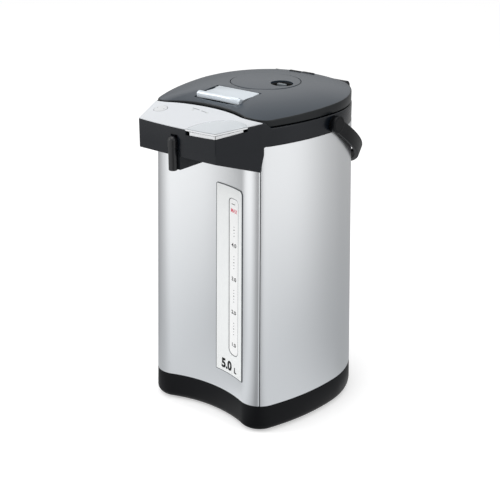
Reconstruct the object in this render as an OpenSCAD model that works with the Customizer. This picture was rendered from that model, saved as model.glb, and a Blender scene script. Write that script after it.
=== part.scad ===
// Electric thermo pot with a hollowed front, a control beak, a manual pump in the lid and a carrying bail.
// The origin is on the axis of the inner vessel, in the plane that the pot stands on. The front faces -Y.

/* [Body outline] */
// Width across the sides at the foot of the body
body_w = 210; // [206:1:216]
// Distance from the vessel axis to the front corners
front_depth = 113.5; // [112:0.5:117]
// Sideways place of the front corner's centre of rounding
corner_x = 63; // [61:1:65]
// Radius of the front corners
corner_r = 25; // [23:1:27]
// Depth of the hollow across the front
front_hollow = 12; // [10:0.5:12.5]
// Narrowing of the body from the floor to the neck, in percent
narrowing = 7.1; // [6:0.1:7.5]

/* [Heights] */
// Height of the standing ring below the base
foot_h = 1.2; // [0.8:0.1:2]
// Top of the base skirt
base_h = 33.6; // [31:0.2:37]
// Rounding of the base skirt's lower edge
base_edge_r = 8.4; // [6:0.2:9]
// Lower edge of the neck ring
neck_z = 334.5; // [328:0.5:345]
// Height of the neck ring
neck_h = 19.6; // [18:0.2:22]
// Gap between the neck ring and the lid
lid_gap = 1.2; // [0.8:0.1:1.6]
// Height of the lid's rim at the front corners
rim_h = 6.5; // [6:0.1:8]
// Rise of the lid's rim per millimetre towards the back
rim_slope = 0.03; // [0.02:0.001:0.035]
// Height of the dome's crown above the front corners of the rim
dome_h = 16.2; // [15:0.2:18]

/* [Walls] */
// Thickness of the sheet metal side shell
shell_t = 0.8; // [0.6:0.1:1]
// Thickness of the front cover
cover_t = 1.6; // [1.2:0.1:1.8]
// Thickness of moulded walls
wall = 2.4; // [2:0.1:2.8]
// Clearance between pieces that sit beside each other
gap = 0.3; // [0.2:0.05:0.4]
// Radial running clearance of a pin in its bore
pin_fit = 0.05; // [0.03:0.01:0.08]

/* [Vessel] */
// Space from the vessel's inside to the body's outside at its foot
jacket = 15.25; // [15:0.25:17]
// Wall of the vessel
vessel_t = 0.6; // [0.5:0.1:0.7]
// Height of the vessel's floor above the standing plane
vessel_z = 56.5; // [55:0.5:60]
// Step inwards from the vessel's inside to its mouth
mouth_step = 9.75; // [9:0.25:12]

/* [Gauge] */
// Sideways place of the gauge slot on the front
slot_x = 39.2; // [37:0.2:41]
// Width of the slot
slot_w = 16.4; // [14:0.2:17]
// Radius of the slot's corners
slot_corner = 4.5; // [2:0.5:6.5]
// Lower end of the slot
slot_z0 = 80; // [78:1:84]
// Space from the slot's upper end to the top of the body
slot_top = 64.5; // [60:0.5:72]
// Left edge of the gauge panel
panel_x0 = 8.6; // [6:0.2:12]
// Right edge of the gauge panel
panel_x1 = 56; // [54:0.2:57]
// Lower edge of the gauge panel
panel_z0 = 58; // [54:1:62]
// Space from the gauge panel to the top of the body
panel_top = 51.5; // [46:0.5:57]
// Radius of the gauge glass
glass_r = 5; // [4:0.1:5.4]

/* [Beak] */
// Width across the front of the beak
beak_w = 106.8; // [102:0.4:110]
// Reach of the beak beyond the body's front corners
beak_reach = 36.5; // [33:0.5:40]
// Forward bow of the beak's front face
beak_bow = 3.33; // [2.5:0.1:4]
// Height of the beak's front edge above the top of the body
beak_front_h = 20.1; // [19.6:0.1:21]
// Depth of the fairing below the neck ring at the front
fairing_front_h = 11.2; // [9:0.2:13]
// Fall of the fairing's underside per millimetre towards the body
fairing_slope = 0.33; // [0.25:0.01:0.36]
// Extra height of the lid's front edge at its middle
crown_h = 4.4; // [3.5:0.1:5]
// Radius of the spout tube
spout_r = 4.8; // [4.4:0.1:5.4]
// Space from the spout's mouth up to the top of the body
spout_drop = 25.3; // [22:0.1:30]

/* [Controls] */
// Radius of the dispense button
button_r = 33; // [31:0.5:34]
// Travel of the dispense button
button_travel = 3; // [2:0.2:3]
// Radius of the round key
key_r = 7.4; // [6.5:0.1:8]
// Radius of the press disc of the manual pump
disc_r = 40; // [38:0.2:41]
// Stroke of the press disc
disc_travel = 14; // [10:1:14]
// Radius of the lock knob
knob_r = 12.6; // [11.5:0.1:13]
// Sideways place of the lock knob in the disc
knob_x = 23; // [22:0.2:24]
// Width of the latch lever
lever_w = 61; // [58:0.5:64]

/* [Handle] */
// Gap between the neck ring's side and the bail
bail_gap = 2.07; // [1.8:0.01:3]
// Reach of the bail from its pivots
bail_reach = 137; // [136:0.5:142]
// Width of the bail's strap
strap_w = 16; // [14:0.5:18]
// Space between the resting bail's bow and the body's back
bail_space = 11.6; // [10:0.1:14]
// Radius of the pivot pins
pivot_r = 4.05; // [3.5:0.05:4.5]

/* [Hidden] */

$fn = 64;

// Points along each stretch of the body's outline
n_hollow = 8;
n_corner = 8;
n_side = 5;
n_back = 16;

half_w = body_w / 2;
// Inside radius of the vessel, held off the front's hollow as well: 39.5 mm of height holds a litre
vessel_r = min(half_w - jacket, front_depth - front_hollow - jacket + 3.5);
mouth_r = vessel_r - mouth_step;
beak_y = front_depth + beak_reach;
hollow_r = (corner_x * corner_x + front_hollow * front_hollow) / (2 * front_hollow) - corner_r;
hollow_y = front_hollow - front_depth - hollow_r;
corner_y = corner_r - front_depth;
side_r = (pow(corner_x - half_w, 2) + corner_y * corner_y - corner_r * corner_r)
    / (2 * (half_w - corner_x - corner_r));
side_x = half_w - side_r;
hollow_a = atan2(corner_x, corner_y - hollow_y);
corner_a0 = -90 - hollow_a;
corner_a1 = atan2(corner_y, corner_x - side_x);
// Direction of the seam between side shell and front cover, seen from the corner's centre
seam_a = -52;
seam_gap = 0.6;

neck_top = neck_z + neck_h;
slot_z1 = neck_z - slot_top;
panel_z1 = neck_z - panel_top;
beak_front_z = neck_z + beak_front_h;
spout_z = neck_z - spout_drop;
lid_z = neck_top + lid_gap;
rim_z = lid_z + rim_h;
dome_z = rim_z + dome_h;
lid_k = taper(rim_z);
ring_k = taper(neck_z + neck_h / 2);
rim_inset = 1.5;
dome_power = 2.6;

// The base skirt turns inwards at its foot, and the bottom plate lies on that flange
plate_z = foot_h + wall;
plate_t = wall;
plate_top = plate_z + plate_t;
plate_inset = 7.2;
foot_r = mouth_r;
foot_w = 10;

// Share of the full outline at height z
function taper(z) = 1 - narrowing / 100 * z / neck_z;

// Right half of the body's outline, from the middle of the front to the middle of the back
function right_edge(off) = concat(
    [for (i = [0 : n_hollow - 1]) let (a = 90 - hollow_a * i / n_hollow)
        [(hollow_r - off) * cos(a), hollow_y + (hollow_r - off) * sin(a)]],
    [for (i = [0 : n_corner - 1]) let (a = corner_a0 + (corner_a1 - corner_a0) * i / n_corner)
        [corner_x + (corner_r + off) * cos(a), corner_y + (corner_r + off) * sin(a)]],
    [for (i = [0 : n_side - 1]) let (a = corner_a1 * (1 - i / n_side))
        [side_x + (side_r + off) * cos(a), (side_r + off) * sin(a)]],
    [for (i = [0 : n_back]) let (a = 90 * i / n_back)
        [(half_w + off) * cos(a), (half_w + off) * sin(a)]]
);

// Whole outline, moved outwards by off
function outline(off = 0) = let (r = right_edge(off)) concat(
    r,
    [for (i = [len(r) - 2 : -1 : 1]) [-r[i].x, r[i].y]]
);

function level(z, off = 0, k = 0) = let (s = k > 0 ? k : taper(z))
    [for (p = outline(off)) [p.x * s, p.y * s, z]];

// Faces between ring j and ring l of n points each
function strip(n, j, l) = [for (i = [0 : n - 1]) let (k = (i + 1) % n) each [
    [j * n + i, l * n + i, l * n + k],
    [j * n + i, l * n + k, j * n + k]
]];

// Solid through a stack of rings
module loft(rings) {
    n = len(rings[0]);
    m = len(rings);
    polyhedron(
        points = [for (r = rings) each r],
        faces = concat(
            [[for (i = [0 : n - 1]) i]],
            [for (j = [0 : m - 2]) each strip(n, j, j + 1)],
            [[for (i = [n - 1 : -1 : 0]) (m - 1) * n + i]]
        )
    );
}

// Wall whose section runs up the outside and down the inside, and closes on itself
module loft_wall(rings) {
    n = len(rings[0]);
    m = len(rings);
    polyhedron(
        points = [for (r = rings) each r],
        faces = [for (j = [0 : m - 1]) each strip(n, j, (j + 1) % m)]
    );
}

// Upright sheet from z0 to z1 that narrows with the body
module tapered(z0, z1) {
    translate([0, 0, z0]) linear_extrude(z1 - z0, scale = taper(z1) / taper(z0))
        scale(taper(z0)) children();
}

module band(off_out, off_in) {
    difference() {
        polygon(outline(off_out));
        polygon(outline(off_in));
    }
}

// Plan region in front of the two corner seams, widened by grow
module front_region(grow = 0) {
    reach = 120;
    seam_dir = [cos(seam_a), sin(seam_a)];
    seam_side = [-sin(seam_a), cos(seam_a)];
    inner = [corner_x, corner_y] + grow * seam_side;
    outer = inner + reach * seam_dir;
    polygon([inner, outer, [outer.x, -3 * reach], [-outer.x, -3 * reach], [-outer.x, outer.y],
        [-inner.x, inner.y]]);
}

module mirrored() {
    children();
    mirror([1, 0, 0]) children();
}

// Cylinder along X from x0 to x1
module rod_x(r, x0, x1, y, z) {
    translate([x0, y, z]) rotate([0, 90, 0]) cylinder(r = r, h = x1 - x0);
}

module tube(r_out, r_in, h) {
    difference() {
        cylinder(r = r_out, h = h);
        translate([0, 0, -1]) cylinder(r = r_in, h = h + 2);
    }
}

// ---------- base ----------

inlet_z = 19;
inlet_w = 30;
inlet_h = 22;
leg_r = 58;
leg_places = [for (a = [-90, 30, 150]) leg_r * [cos(a), sin(a)]];
screw_r = 1.7;

module base_skirt() {
    lip_off = -cover_t - gap;
    lip_h = 4;
    rise = [0, 22.5, 45, 67.5, 90];
    color("#17181a") difference() {
        loft_wall(concat(
            [for (a = rise) level(foot_h + base_edge_r * (1 - cos(a)), -base_edge_r * (1 - sin(a)))],
            [
                level(base_h, 0),
                level(base_h, lip_off),
                level(base_h + lip_h, lip_off),
                level(base_h + lip_h, lip_off - 1.6),
                level(base_h - 2, -wall - 1.2),
                level(foot_h + base_edge_r + 1, -wall - 1.2),
                level(plate_z, -plate_inset + gap),
                level(plate_z, -plate_inset - 6),
                level(foot_h, -plate_inset - 6)
            ]
        ));
        translate([-inlet_w / 2, half_w - 25, inlet_z - inlet_h / 2]) cube([inlet_w, 40, inlet_h]);
    }
}

module bottom_plate() {
    vent_pitch = 7;
    color("#1c1d1f") difference() {
        translate([0, 0, plate_z]) linear_extrude(plate_t)
            scale(taper(plate_z)) polygon(outline(-plate_inset));
        for (p = leg_places) translate([p.x, p.y, plate_z - 1]) {
            cylinder(r = screw_r + 0.2, h = 10);
            cylinder(r = 3.6, h = 2.2);
        }
        for (i = [-3 : 3]) translate([i * vent_pitch - 1.5, 14, plate_z - 1]) cube([3, 30, plate_t + 2]);
    }
}

module foot_ring() {
    color("#2a2a2a") rotate_extrude() polygon([
        [foot_r - foot_w, plate_z], [foot_r - foot_w, 0.6], [foot_r - foot_w + 0.6, 0],
        [foot_r - 0.6, 0], [foot_r, 0.6], [foot_r, plate_z]
    ]);
}

module base_screws() {
    color("#8a8c8e") for (p = leg_places) translate([p.x, p.y, plate_z - 0.2]) {
        difference() {
            cylinder(r = 3.2, h = 1.4);
            translate([-2, -0.4, -1]) cube([4, 0.8, 1.6]);
            translate([-0.4, -2, -1]) cube([0.8, 4, 1.6]);
        }
        cylinder(r = screw_r, h = 10);
    }
}

module power_inlet() {
    depth = 17;
    back_y = half_w * taper(inlet_z) - 1.6;
    color("#101112") difference() {
        union() {
            translate([-inlet_w / 2 + gap, back_y - depth, inlet_z - inlet_h / 2 + gap])
                cube([inlet_w - 2 * gap, depth, inlet_h - 2 * gap]);
            translate([-inlet_w / 2 - 5, back_y - depth, inlet_z - inlet_h / 2 - 2])
                cube([inlet_w + 10, 3, inlet_h + 4]);
        }
        translate([-12, back_y - depth + 4, inlet_z - 8]) cube([24, depth, 16]);
        for (x = [-7, 0, 7]) translate([x - 1.1, back_y - depth - 1, inlet_z - 2.2]) cube([2.2, 8, 4.4]);
    }
}

module inlet_pins() {
    back_y = half_w * taper(inlet_z) - 1.6;
    color("#c9ccce") for (x = [-7, 0, 7]) translate([x - 1, back_y - 22, inlet_z - 2]) cube([2, 19, 4]);
}

// ---------- body ----------

module side_shell() {
    color("#c8cacd") tapered(base_h + 0.05, neck_z) difference() {
        band(0, -shell_t);
        front_region(seam_gap / 2);
    }
}

// Plan of the gauge slot, grown all round
function slot_points(grow) = let (half = slot_w / 2 - slot_corner) [
    for (c = [[1, 1, 0], [-1, 1, 90], [-1, -1, 180], [1, -1, 270]])
        let (z = c.y > 0 ? slot_z1 - slot_corner : slot_z0 + slot_corner, x = slot_x * taper(z) + c.x * half)
            for (a = [0 : 22.5 : 90]) [x, z] + (slot_corner + grow) * [cos(c.z + a), sin(c.z + a)]
];

module slot_cutter(grow) {
    rotate([90, 0, 0]) linear_extrude(2 * front_depth) polygon(slot_points(grow));
}

module front_cover() {
    color("#d2d4d7") difference() {
        tapered(base_h + 0.05, neck_z) intersection() {
            band(0, -cover_t);
            front_region(-seam_gap / 2);
        }
        slot_cutter(0);
    }
}

module gauge_panel() {
    thick = 0.8;
    color("#dfe1e3") difference() {
        tapered(panel_z0, panel_z1) intersection() {
            band(0.04 + thick, 0.04);
            translate([panel_x0, -2 * front_depth]) square([panel_x1 - panel_x0, 2 * front_depth]);
        }
        slot_cutter(0);
    }
}

module gauge_window() {
    color("#f4f5f5") intersection() {
        tapered(slot_z0 - 1, slot_z1 + 1) intersection() {
            band(0.5, -1.1);
            translate([slot_x - slot_w, -2 * front_depth]) square([2 * slot_w, 2 * front_depth]);
        }
        slot_cutter(-gap);
    }
}

wrap_t = 1.9;
cuff_t = 1.5;
glass_x = slot_x - 1.2;
glass_y = -sqrt(pow(vessel_r + vessel_t + wrap_t + cuff_t + glass_r + gap, 2) - pow(glass_x, 2));
glass_z0 = slot_z0 - 18;
glass_z1 = slot_z1 + 16;

module gauge_glass() {
    color("#e8f2f4") translate([glass_x, glass_y, glass_z0]) tube(glass_r, glass_r - 1, glass_z1 - glass_z0);
}

module gauge_cuffs() {
    overlap = 8;
    color("#e6e2da") {
        difference() {
            translate([glass_x, glass_y, glass_z0 - 4]) cylinder(r = glass_r + cuff_t, h = overlap + 4);
            translate([glass_x, glass_y, glass_z0]) cylinder(r = glass_r + pin_fit, h = overlap + 1);
        }
        difference() {
            translate([glass_x, glass_y, glass_z1 - overlap]) cylinder(r = glass_r + cuff_t, h = overlap + 4);
            translate([glass_x, glass_y, glass_z1 - overlap - 1])
                cylinder(r = glass_r + pin_fit, h = overlap + 1);
        }
    }
}

// ---------- vessel and heating ----------

vessel_top = neck_z + 2.5;
floor_r = 10;
shoulder_r = 12;

// Half section of the vessel's outside, moved inwards by t
function vessel_profile(t) = let (
    r = vessel_r + vessel_t - t,
    lo = vessel_z - vessel_t + t,
    hi = vessel_top - 14
) concat(
    [[0, lo]],
    [for (a = [0 : 15 : 90]) [r - floor_r + (floor_r - t) * sin(a) + t, lo + (floor_r - t) * (1 - cos(a))]],
    [for (a = [0 : 15 : 60])
        [r - shoulder_r + shoulder_r * cos(a), hi - shoulder_r / 2 + shoulder_r * sin(a)]],
    [[mouth_r + vessel_t - t, vessel_top]]
);

module vessel() {
    outer = vessel_profile(0);
    inner = vessel_profile(vessel_t);
    color("#b9bcbf") {
        rotate_extrude() polygon(concat(
            [for (p = outer) p],
            [[mouth_r + 6, vessel_top], [mouth_r + 6, vessel_top + 0.8], [mouth_r, vessel_top + 0.8]],
            [for (i = [len(inner) - 1 : -1 : 0]) inner[i]]
        ));
    }
}

module neck_gasket() {
    color("#d8d4cc") translate([0, 0, vessel_top + 0.8]) tube(mouth_r + 6, mouth_r + 0.4, gasket_t);
}
gasket_t = 1.2;
collar_z = vessel_top + 0.8 + gasket_t;

heater_h = 28;
heater_z = vessel_z + 6;
wrap_h = neck_z - 42 - heater_z - heater_h;

module band_heater() {
    color("#a08a5c") difference() {
        union() {
            translate([0, 0, heater_z]) tube(vessel_r + vessel_t + 1.5, vessel_r + vessel_t + 0.1, heater_h);
            translate([-9, vessel_r + vessel_t + 1, heater_z + 6]) cube([18, 5, heater_h - 12]);
        }
        translate([-0.6, vessel_r + vessel_t - 1, heater_z - 1]) cube([1.2, 10, heater_h + 2]);
    }
}

module insulation_wrap() {
    color("#e9e6dc") translate([0, 0, heater_z + heater_h + 2])
        tube(vessel_r + vessel_t + wrap_t, vessel_r + vessel_t + 0.1, wrap_h);
}

module thermostat() {
    color("#35363a") translate([34, 22, vessel_z - vessel_t - 9]) {
        cylinder(r = 8, h = 9);
        translate([-12, -3, 2]) cube([24, 6, 2]);
    }
}

stand_r0 = 52;
stand_r1 = 66;

module vessel_stand() {
    top = vessel_z - vessel_t;
    color("#4a4b4d") difference() {
        union() {
            translate([0, 0, top - wall]) tube(stand_r1, stand_r0, wall);
            for (p = leg_places) translate([p.x, p.y, plate_top]) cylinder(r = 4.5, h = top - 1 - plate_top);
        }
        for (p = leg_places) translate([p.x, p.y, plate_top - 1]) cylinder(r = screw_r + pin_fit, h = 10);
    }
}

pump_x = -12;
pump_y = -34;
pump_z = 25;

module pump_motor() {
    color("#9a9da0") translate([pump_x, pump_y, plate_top]) cylinder(r = 14, h = pump_z - plate_top);
}

module pump_housing() {
    color("#d9d6cf") difference() {
        union() {
            translate([pump_x, pump_y, pump_z]) cylinder(r = 19, h = 13);
            translate([pump_x, pump_y, pump_z + 13]) cylinder(r = 4, h = 5);
            translate([pump_x, pump_y - 15, pump_z + 6]) rotate([0, 90, 0]) cylinder(r = 3.6, h = 24);
        }
        translate([pump_x, pump_y, pump_z + 9]) cylinder(r = 2.6, h = 12);
        translate([pump_x, pump_y - 15, pump_z + 6]) rotate([0, 90, 0]) cylinder(r = 2.2, h = 30);
    }
}

module suction_hose() {
    z0 = pump_z + 13;
    color("#e4ded2") translate([pump_x, pump_y, z0]) tube(6, 4 + pin_fit, vessel_z - vessel_t - z0);
}

// Hose from the pump's outlet along X, forward, then up into the lower cuff of the gauge glass
module outlet_hose() {
    r = 4.5;
    x0 = pump_x + 24;
    y0 = pump_y - 15;
    z0 = pump_z + 6;
    bend = 9;
    color("#e4ded2") {
        translate([x0, y0, z0]) rotate([0, 90, 0]) cylinder(r = r, h = glass_x - bend - x0);
        translate([glass_x - bend, y0 - bend, z0]) rotate_extrude(angle = 90)
            translate([bend, 0]) circle(r = r);
        translate([glass_x, y0 - bend, z0]) rotate([90, 0, 0]) cylinder(r = r, h = y0 - bend - glass_y);
        translate([glass_x, glass_y, z0]) sphere(r = r);
        translate([glass_x, glass_y, z0]) cylinder(r = r, h = glass_z0 - 4 - z0);
    }
}

// Hose from the top of the gauge glass up into the beak and down to the nozzle block
module delivery_hose() {
    r = 4;
    bend = 8;
    z0 = glass_z1 + 4;
    z1 = neck_z + 5.5;
    y1 = glass_y - bend;
    y2 = -beak_y + 20;
    color("#e4ded2") {
        translate([glass_x, glass_y, z0]) cylinder(r = r, h = z1 - bend - z0);
        translate([glass_x, y1, z1 - bend]) rotate([90, 0, 90]) rotate_extrude(angle = 90)
            translate([bend, 0]) circle(r = r);
        translate([glass_x, y1, z1]) rotate([90, 0, 0]) cylinder(r = r, h = y1 - y2);
        translate([glass_x, y2, z1]) sphere(r = r);
        rod_x(r, 0, glass_x, y2, z1);
        translate([0, y2, z1]) sphere(r = r);
        translate([0, y2, spout_z + 20.4]) cylinder(r = r, h = z1 - spout_z - 20.4);
    }
}

module control_board() {
    board_y = vessel_r - 27.75;
    color("#2f6b45") translate([-38, board_y, plate_top]) cube([76, 1.6, 32]);
    color("#2b2d30") translate([-30, board_y + 1.6, plate_top + 6]) cube([22, 14, 20]);
    color("#3b3d40") translate([6, board_y + 1.6, plate_top + 8]) cube([16, 10, 14]);
}

// ---------- neck ring and beak ----------

pivot_y = -4;
boss_r = 8.6;
pivot_z = neck_z + boss_r + 0.1;
eye_w = 5.2;
cap_r = 7.5;
cap_t = 1.8;
strap_in = half_w * ring_k + bail_gap;
strap_out = strap_in + eye_w;
bail_half_w = strap_in + eye_w / 2;
// Angle by which the resting bail hangs below the level
bail_droop = acos((half_w * taper(neck_z - 75) + bail_space) / bail_reach);

hinge_y = half_w * ring_k - 11.33;
hinge_z = lid_z + 5.6;
hinge_r = 6.4;
hinge_pin_r = 2;
ear_x0 = 38;
ear_x1 = 52;

// Flank of the beak: the line from the front corner that touches the ring's corner arc
beak_corner = [beak_w / 2, -beak_y];
to_corner = [corner_x, corner_y] * ring_k - beak_corner;
to_corner_d = norm(to_corner);
flank_a = atan2(to_corner.x, to_corner.y) + asin(corner_r * ring_k / to_corner_d);
flank_len = sqrt(pow(to_corner_d, 2) - pow(corner_r * ring_k, 2));
flank_end = beak_corner + flank_len * [sin(flank_a), cos(flank_a)];
function flank_x(y) = beak_corner.x + (y - beak_corner.y) * tan(flank_a);
// Where the beak's top ends beside the lid's corner
beak_back_y = 16 - front_depth;

module ring_plan(off = 0) {
    scale(ring_k) polygon(outline(off));
    if (off == 0) mirrored()
        polygon([flank_end, [corner_x, corner_y] * ring_k, [flank_x(beak_back_y), beak_back_y]]);
}

module neck_ring() {
    deck_z = neck_top - 9;
    color("#1f2124") difference() {
        union() {
            translate([0, 0, neck_z + 0.1]) linear_extrude(neck_h - 0.1) difference() {
                ring_plan();
                ring_plan(-wall);
            }
            translate([0, 0, neck_z - 3.5]) linear_extrude(6) scale(taper(neck_z)) difference() {
                polygon(outline(-cover_t - gap));
                polygon(outline(-cover_t - gap - 1.4));
            }
            translate([0, 0, deck_z]) linear_extrude(wall) difference() {
                ring_plan(-1);
                circle(r = mouth_r + 1);
            }
            translate([0, 0, collar_z]) tube(mouth_r + wall, mouth_r, neck_top - 1 - collar_z);
            mirrored() {
                rod_x(boss_r, half_w * ring_k - wall, strap_in - gap, pivot_y, pivot_z);
                rod_x(pivot_r, half_w * ring_k - wall, strap_out - cap_t, pivot_y, pivot_z);
                rod_x(hinge_r, ear_x0, ear_x1, hinge_y, hinge_z);
                translate([ear_x0, hinge_y - hinge_r, deck_z])
                    cube([ear_x1 - ear_x0, 2 * hinge_r, hinge_z - deck_z]);
            }
        }
        mirrored() rod_x(hinge_pin_r + 0.02, ear_x0 - 1, ear_x1 - 3, hinge_y, hinge_z);
        hose_gate();
    }
}

// Way through the front walls for the delivery hose
module hose_gate() {
    translate([glass_x - 5.5, glass_y - 14.5, neck_z - 5]) cube([11, 16, 15.5]);
}

module handle_caps() {
    color("#141516") mirrored() rod_x(cap_r, strap_out - cap_t, strap_out, pivot_y, pivot_z);
}

module hinge_pin() {
    color("#b0b3b6") rod_x(hinge_pin_r, -ear_x1 + 3.2, ear_x1 - 3.2, hinge_y, hinge_z);
}

// Height added to the lid's front edge, none at its corners
function crown(x) = crown_h * (1 - pow(min(1, abs(x) / 76), 3));

// Front edge of the lid opening, right to left, moved towards the front by off.
// Its points lie between those of the outline.
function lid_front(off, k) = let (
    right = concat(
        [for (i = [0.5 : n_corner]) let (a = -48 + (corner_a0 + 48) * i / n_corner)
            [corner_x + (corner_r + off) * cos(a), corner_y + (corner_r + off) * sin(a)]],
        [for (i = [0.5 : n_hollow]) let (a = 90 - hollow_a * (1 - i / n_hollow))
            [(hollow_r - off) * cos(a), hollow_y + (hollow_r - off) * sin(a)]]
    ),
    half = [for (p = right) p * k]
) concat(half, [for (i = [len(half) - 1 : -1 : 0]) [-half[i].x, half[i].y]]);

// Slice of the beak's top through point p of its rear edge, run on past both ends
function beak_slice(p, lift, foot) = let (
    u = p.x / flank_x(beak_back_y),
    front = [u * beak_w / 2, -beak_y - beak_bow * (1 - u * u), beak_front_z + lift],
    rear = [p.x, p.y, rim_z - 0.6 + crown(p.x) + lift],
    past = 0.15 * (rear - front),
    a = front - past,
    b = rear + past
) [[a.x, a.y, foot], a, b, [b.x, b.y, foot]];

// Everything under the beak's top surface, moved up by lift
module under_top(lift, foot) {
    x_end = flank_x(beak_back_y);
    mid = [for (p = lid_front(0.8, lid_k)) if (abs(p.x) < x_end - 1) p];
    pts = concat([[x_end + 8, beak_back_y + 2], [x_end + 1.7, beak_back_y + 0.5]], mid,
        [[-x_end - 1.7, beak_back_y + 0.5], [-x_end - 8, beak_back_y + 2]]);
    loft([for (p = pts) beak_slice(p, lift, foot)]);
}

// Plan of the beak, moved in by inset and forward from the lid by rear_gap
module beak_plan(inset, rear_gap) {
    y_end = beak_back_y;
    steps = 8;
    difference() {
        polygon(concat(
            [for (i = [-steps : steps]) let (u = i / steps)
                [u * (flank_x(-beak_y + inset) - inset), -beak_y - beak_bow * (1 - u * u) + inset]],
            [[flank_x(y_end) - inset, y_end], [-flank_x(y_end) + inset, y_end]]
        ));
        scale(lid_k) polygon(outline(rear_gap));
    }
}

module beak_body(inset, rear_gap, lift, foot) {
    intersection() {
        translate([0, 0, foot]) linear_extrude(rim_z + 20 - foot) beak_plan(inset, rear_gap);
        under_top(lift, foot - 10);
    }
}

button_x = beak_w / 2 - 7.1;
button_y = 10 - beak_y;
button_low = beak_front_z - 3.7;
plunger_z = button_low + 1.4;
spout_y = -beak_y - 6.5;
bolt_w = 16;
bolt_t = 2.4;
bolt_z = lid_z + 2;
lamp_x = [-11.5, 8.3];
lamp_y = 39.6 - beak_y;
lamp_r = 1.6;

// Slot for the latch bolt through the hood's rear wall and the lid's front edge
bolt_y = 16.5 - front_depth;
module bolt_way() {
    translate([-bolt_w / 2 - gap, bolt_y - 13, bolt_z - gap]) cube([bolt_w + 2 * gap, 30, bolt_t + 2 * gap]);
}

module hood() {
    foot = neck_z + 0.1;
    rear_wall = 1.8;
    color("#202225") difference() {
        beak_body(0, 0.8, 0, foot);
        beak_body(wall, 0.8 + rear_wall, -wall, foot - 5);
        translate([button_x, button_y, button_low - button_travel - 0.5])
            cylinder(r = button_r + 0.5, h = 40);
        translate([0, spout_y, foot - 1]) cylinder(r = spout_r + gap, h = 14);
        translate([key_x, key_y, neck_top]) cylinder(r = key_r + 1, h = 30);
        bolt_way();
        for (x = lamp_x) translate([x, lamp_y, neck_top]) cylinder(r = lamp_r + gap, h = 30);
        hose_gate();
    }
}

// Plan of the fairing under the beak, open at the rear
module fairing_plan(inset) {
    y_end = beak_back_y + 4;
    front = [for (i = [-6 : 6]) let (u = i / 6)
        [u * (beak_w / 2 - inset), -beak_y - beak_bow * (1 - u * u) + inset]];
    polygon(concat(front, [[flank_x(y_end) - inset, y_end], [-flank_x(y_end) + inset, y_end]]));
}

function fairing_low(y) = neck_z - fairing_front_h - fairing_slope * (y + beak_y);

// Side view of the fairing: a falling underside and a slanted rear edge
module fairing_side(top, up) {
    translate([-beak_w, 0, 0]) rotate([90, 0, 90]) linear_extrude(2 * beak_w) polygon([
        [-beak_y - 20, top],
        [beak_back_y, top],
        [beak_back_y - 5.5, fairing_low(beak_back_y - 5.5) + up],
        [-beak_y - 20, fairing_low(-beak_y - 20) + up]
    ]);
}

module hood_fairing() {
    top = neck_z - 0.1;
    posts = [[5 - beak_w / 2, 38 - beak_y], [12, 32 - beak_y], [beak_w / 2 - 11.4, 13 - beak_y]];
    color("#1a1b1e") difference() {
        union() {
            difference() {
                intersection() {
                    translate([0, 0, neck_z - 60]) linear_extrude(60) fairing_plan(0);
                    fairing_side(top, 0);
                }
                intersection() {
                    translate([0, 0, neck_z - 60]) linear_extrude(70) fairing_plan(wall);
                    translate([0, 4, 0]) fairing_side(top + 5, wall + 1.3);
                }
            }
            for (p = posts) translate([p.x, p.y, fairing_low(p.y) + 1])
                cylinder(r = 3, h = board_z - fairing_low(p.y) - 1);
        }
        translate([0, 0, neck_z - 60]) linear_extrude(60) scale(taper(neck_z - 30)) polygon(outline(0.4));
        translate([0, spout_y, spout_z - 5]) cylinder(r = spout_r + gap, h = 60);
        translate([-nozzle_w / 2 - gap, -beak_y - 10, spout_z - 5]) cube([nozzle_w + 2 * gap, 60, 26]);
    }
}

nozzle_w = 14;

module nozzle_block() {
    color("#17181a") difference() {
        translate([-nozzle_w / 2, -beak_y - 2.6, spout_z + 0.4]) cube([nozzle_w, 42, 20]);
        translate([0, spout_y, spout_z - 5]) cylinder(r = spout_r + 0.1, h = 60);
    }
}

module spout_tube() {
    top = neck_z + 11.5 - spout_r;
    color("#1b1c1f") difference() {
        union() {
            translate([0, spout_y, spout_z]) cylinder(r = spout_r, h = top - spout_z);
            translate([0, spout_y, top]) sphere(r = spout_r);
        }
        translate([0, spout_y, spout_z - 1]) cylinder(r = spout_r - 1.6, h = 24);
    }
}

key_x = 6.9 - beak_w / 2;
key_y = 26.7 - beak_y;

module control_panel() {
    color("#e9eaec") difference() {
        beak_body(0.5, 0.8, 1, neck_top - 5);
        under_top(0, neck_top - 20);
        translate([button_x, button_y, neck_z]) cylinder(r = button_r + 0.5, h = 60);
        translate([key_x, key_y, neck_z]) cylinder(r = key_r + 0.4, h = 60);
        for (x = lamp_x) translate([x, lamp_y, neck_top]) cylinder(r = lamp_r + gap, h = 30);
    }
}

module round_key() {
    color("#f0f1f2") {
        difference() {
            intersection() {
                translate([key_x, key_y, neck_top]) cylinder(r = key_r, h = 40);
                under_top(1.4, neck_top - 20);
            }
            under_top(-1.6, neck_top - 25);
        }
        translate([key_x, key_y, board_z + 5.5]) cylinder(r = 2.4, h = 9.9);
    }
}

board_z = neck_top - 9;

module panel_board() {
    color("#2f6b45") {
        translate([2 - beak_w / 2, 15 - beak_y, board_z]) cube([beak_w / 2 + 18, 25, 1.6]);
        translate([beak_w / 2 - 20.4, 3 - beak_y, board_z]) cube([17, 21, 1.6]);
    }
    color("#26282b") translate([key_x - 3.5, key_y - 3.5, board_z + 1.6]) cube([7, 7, 3]);
}

module lamps() {
    color("#d7e3d6") for (x = lamp_x) translate([x, lamp_y, board_z + 1.6])
        cylinder(r = lamp_r, h = rim_z + 2.4 - board_z - 1.6);
}

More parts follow.
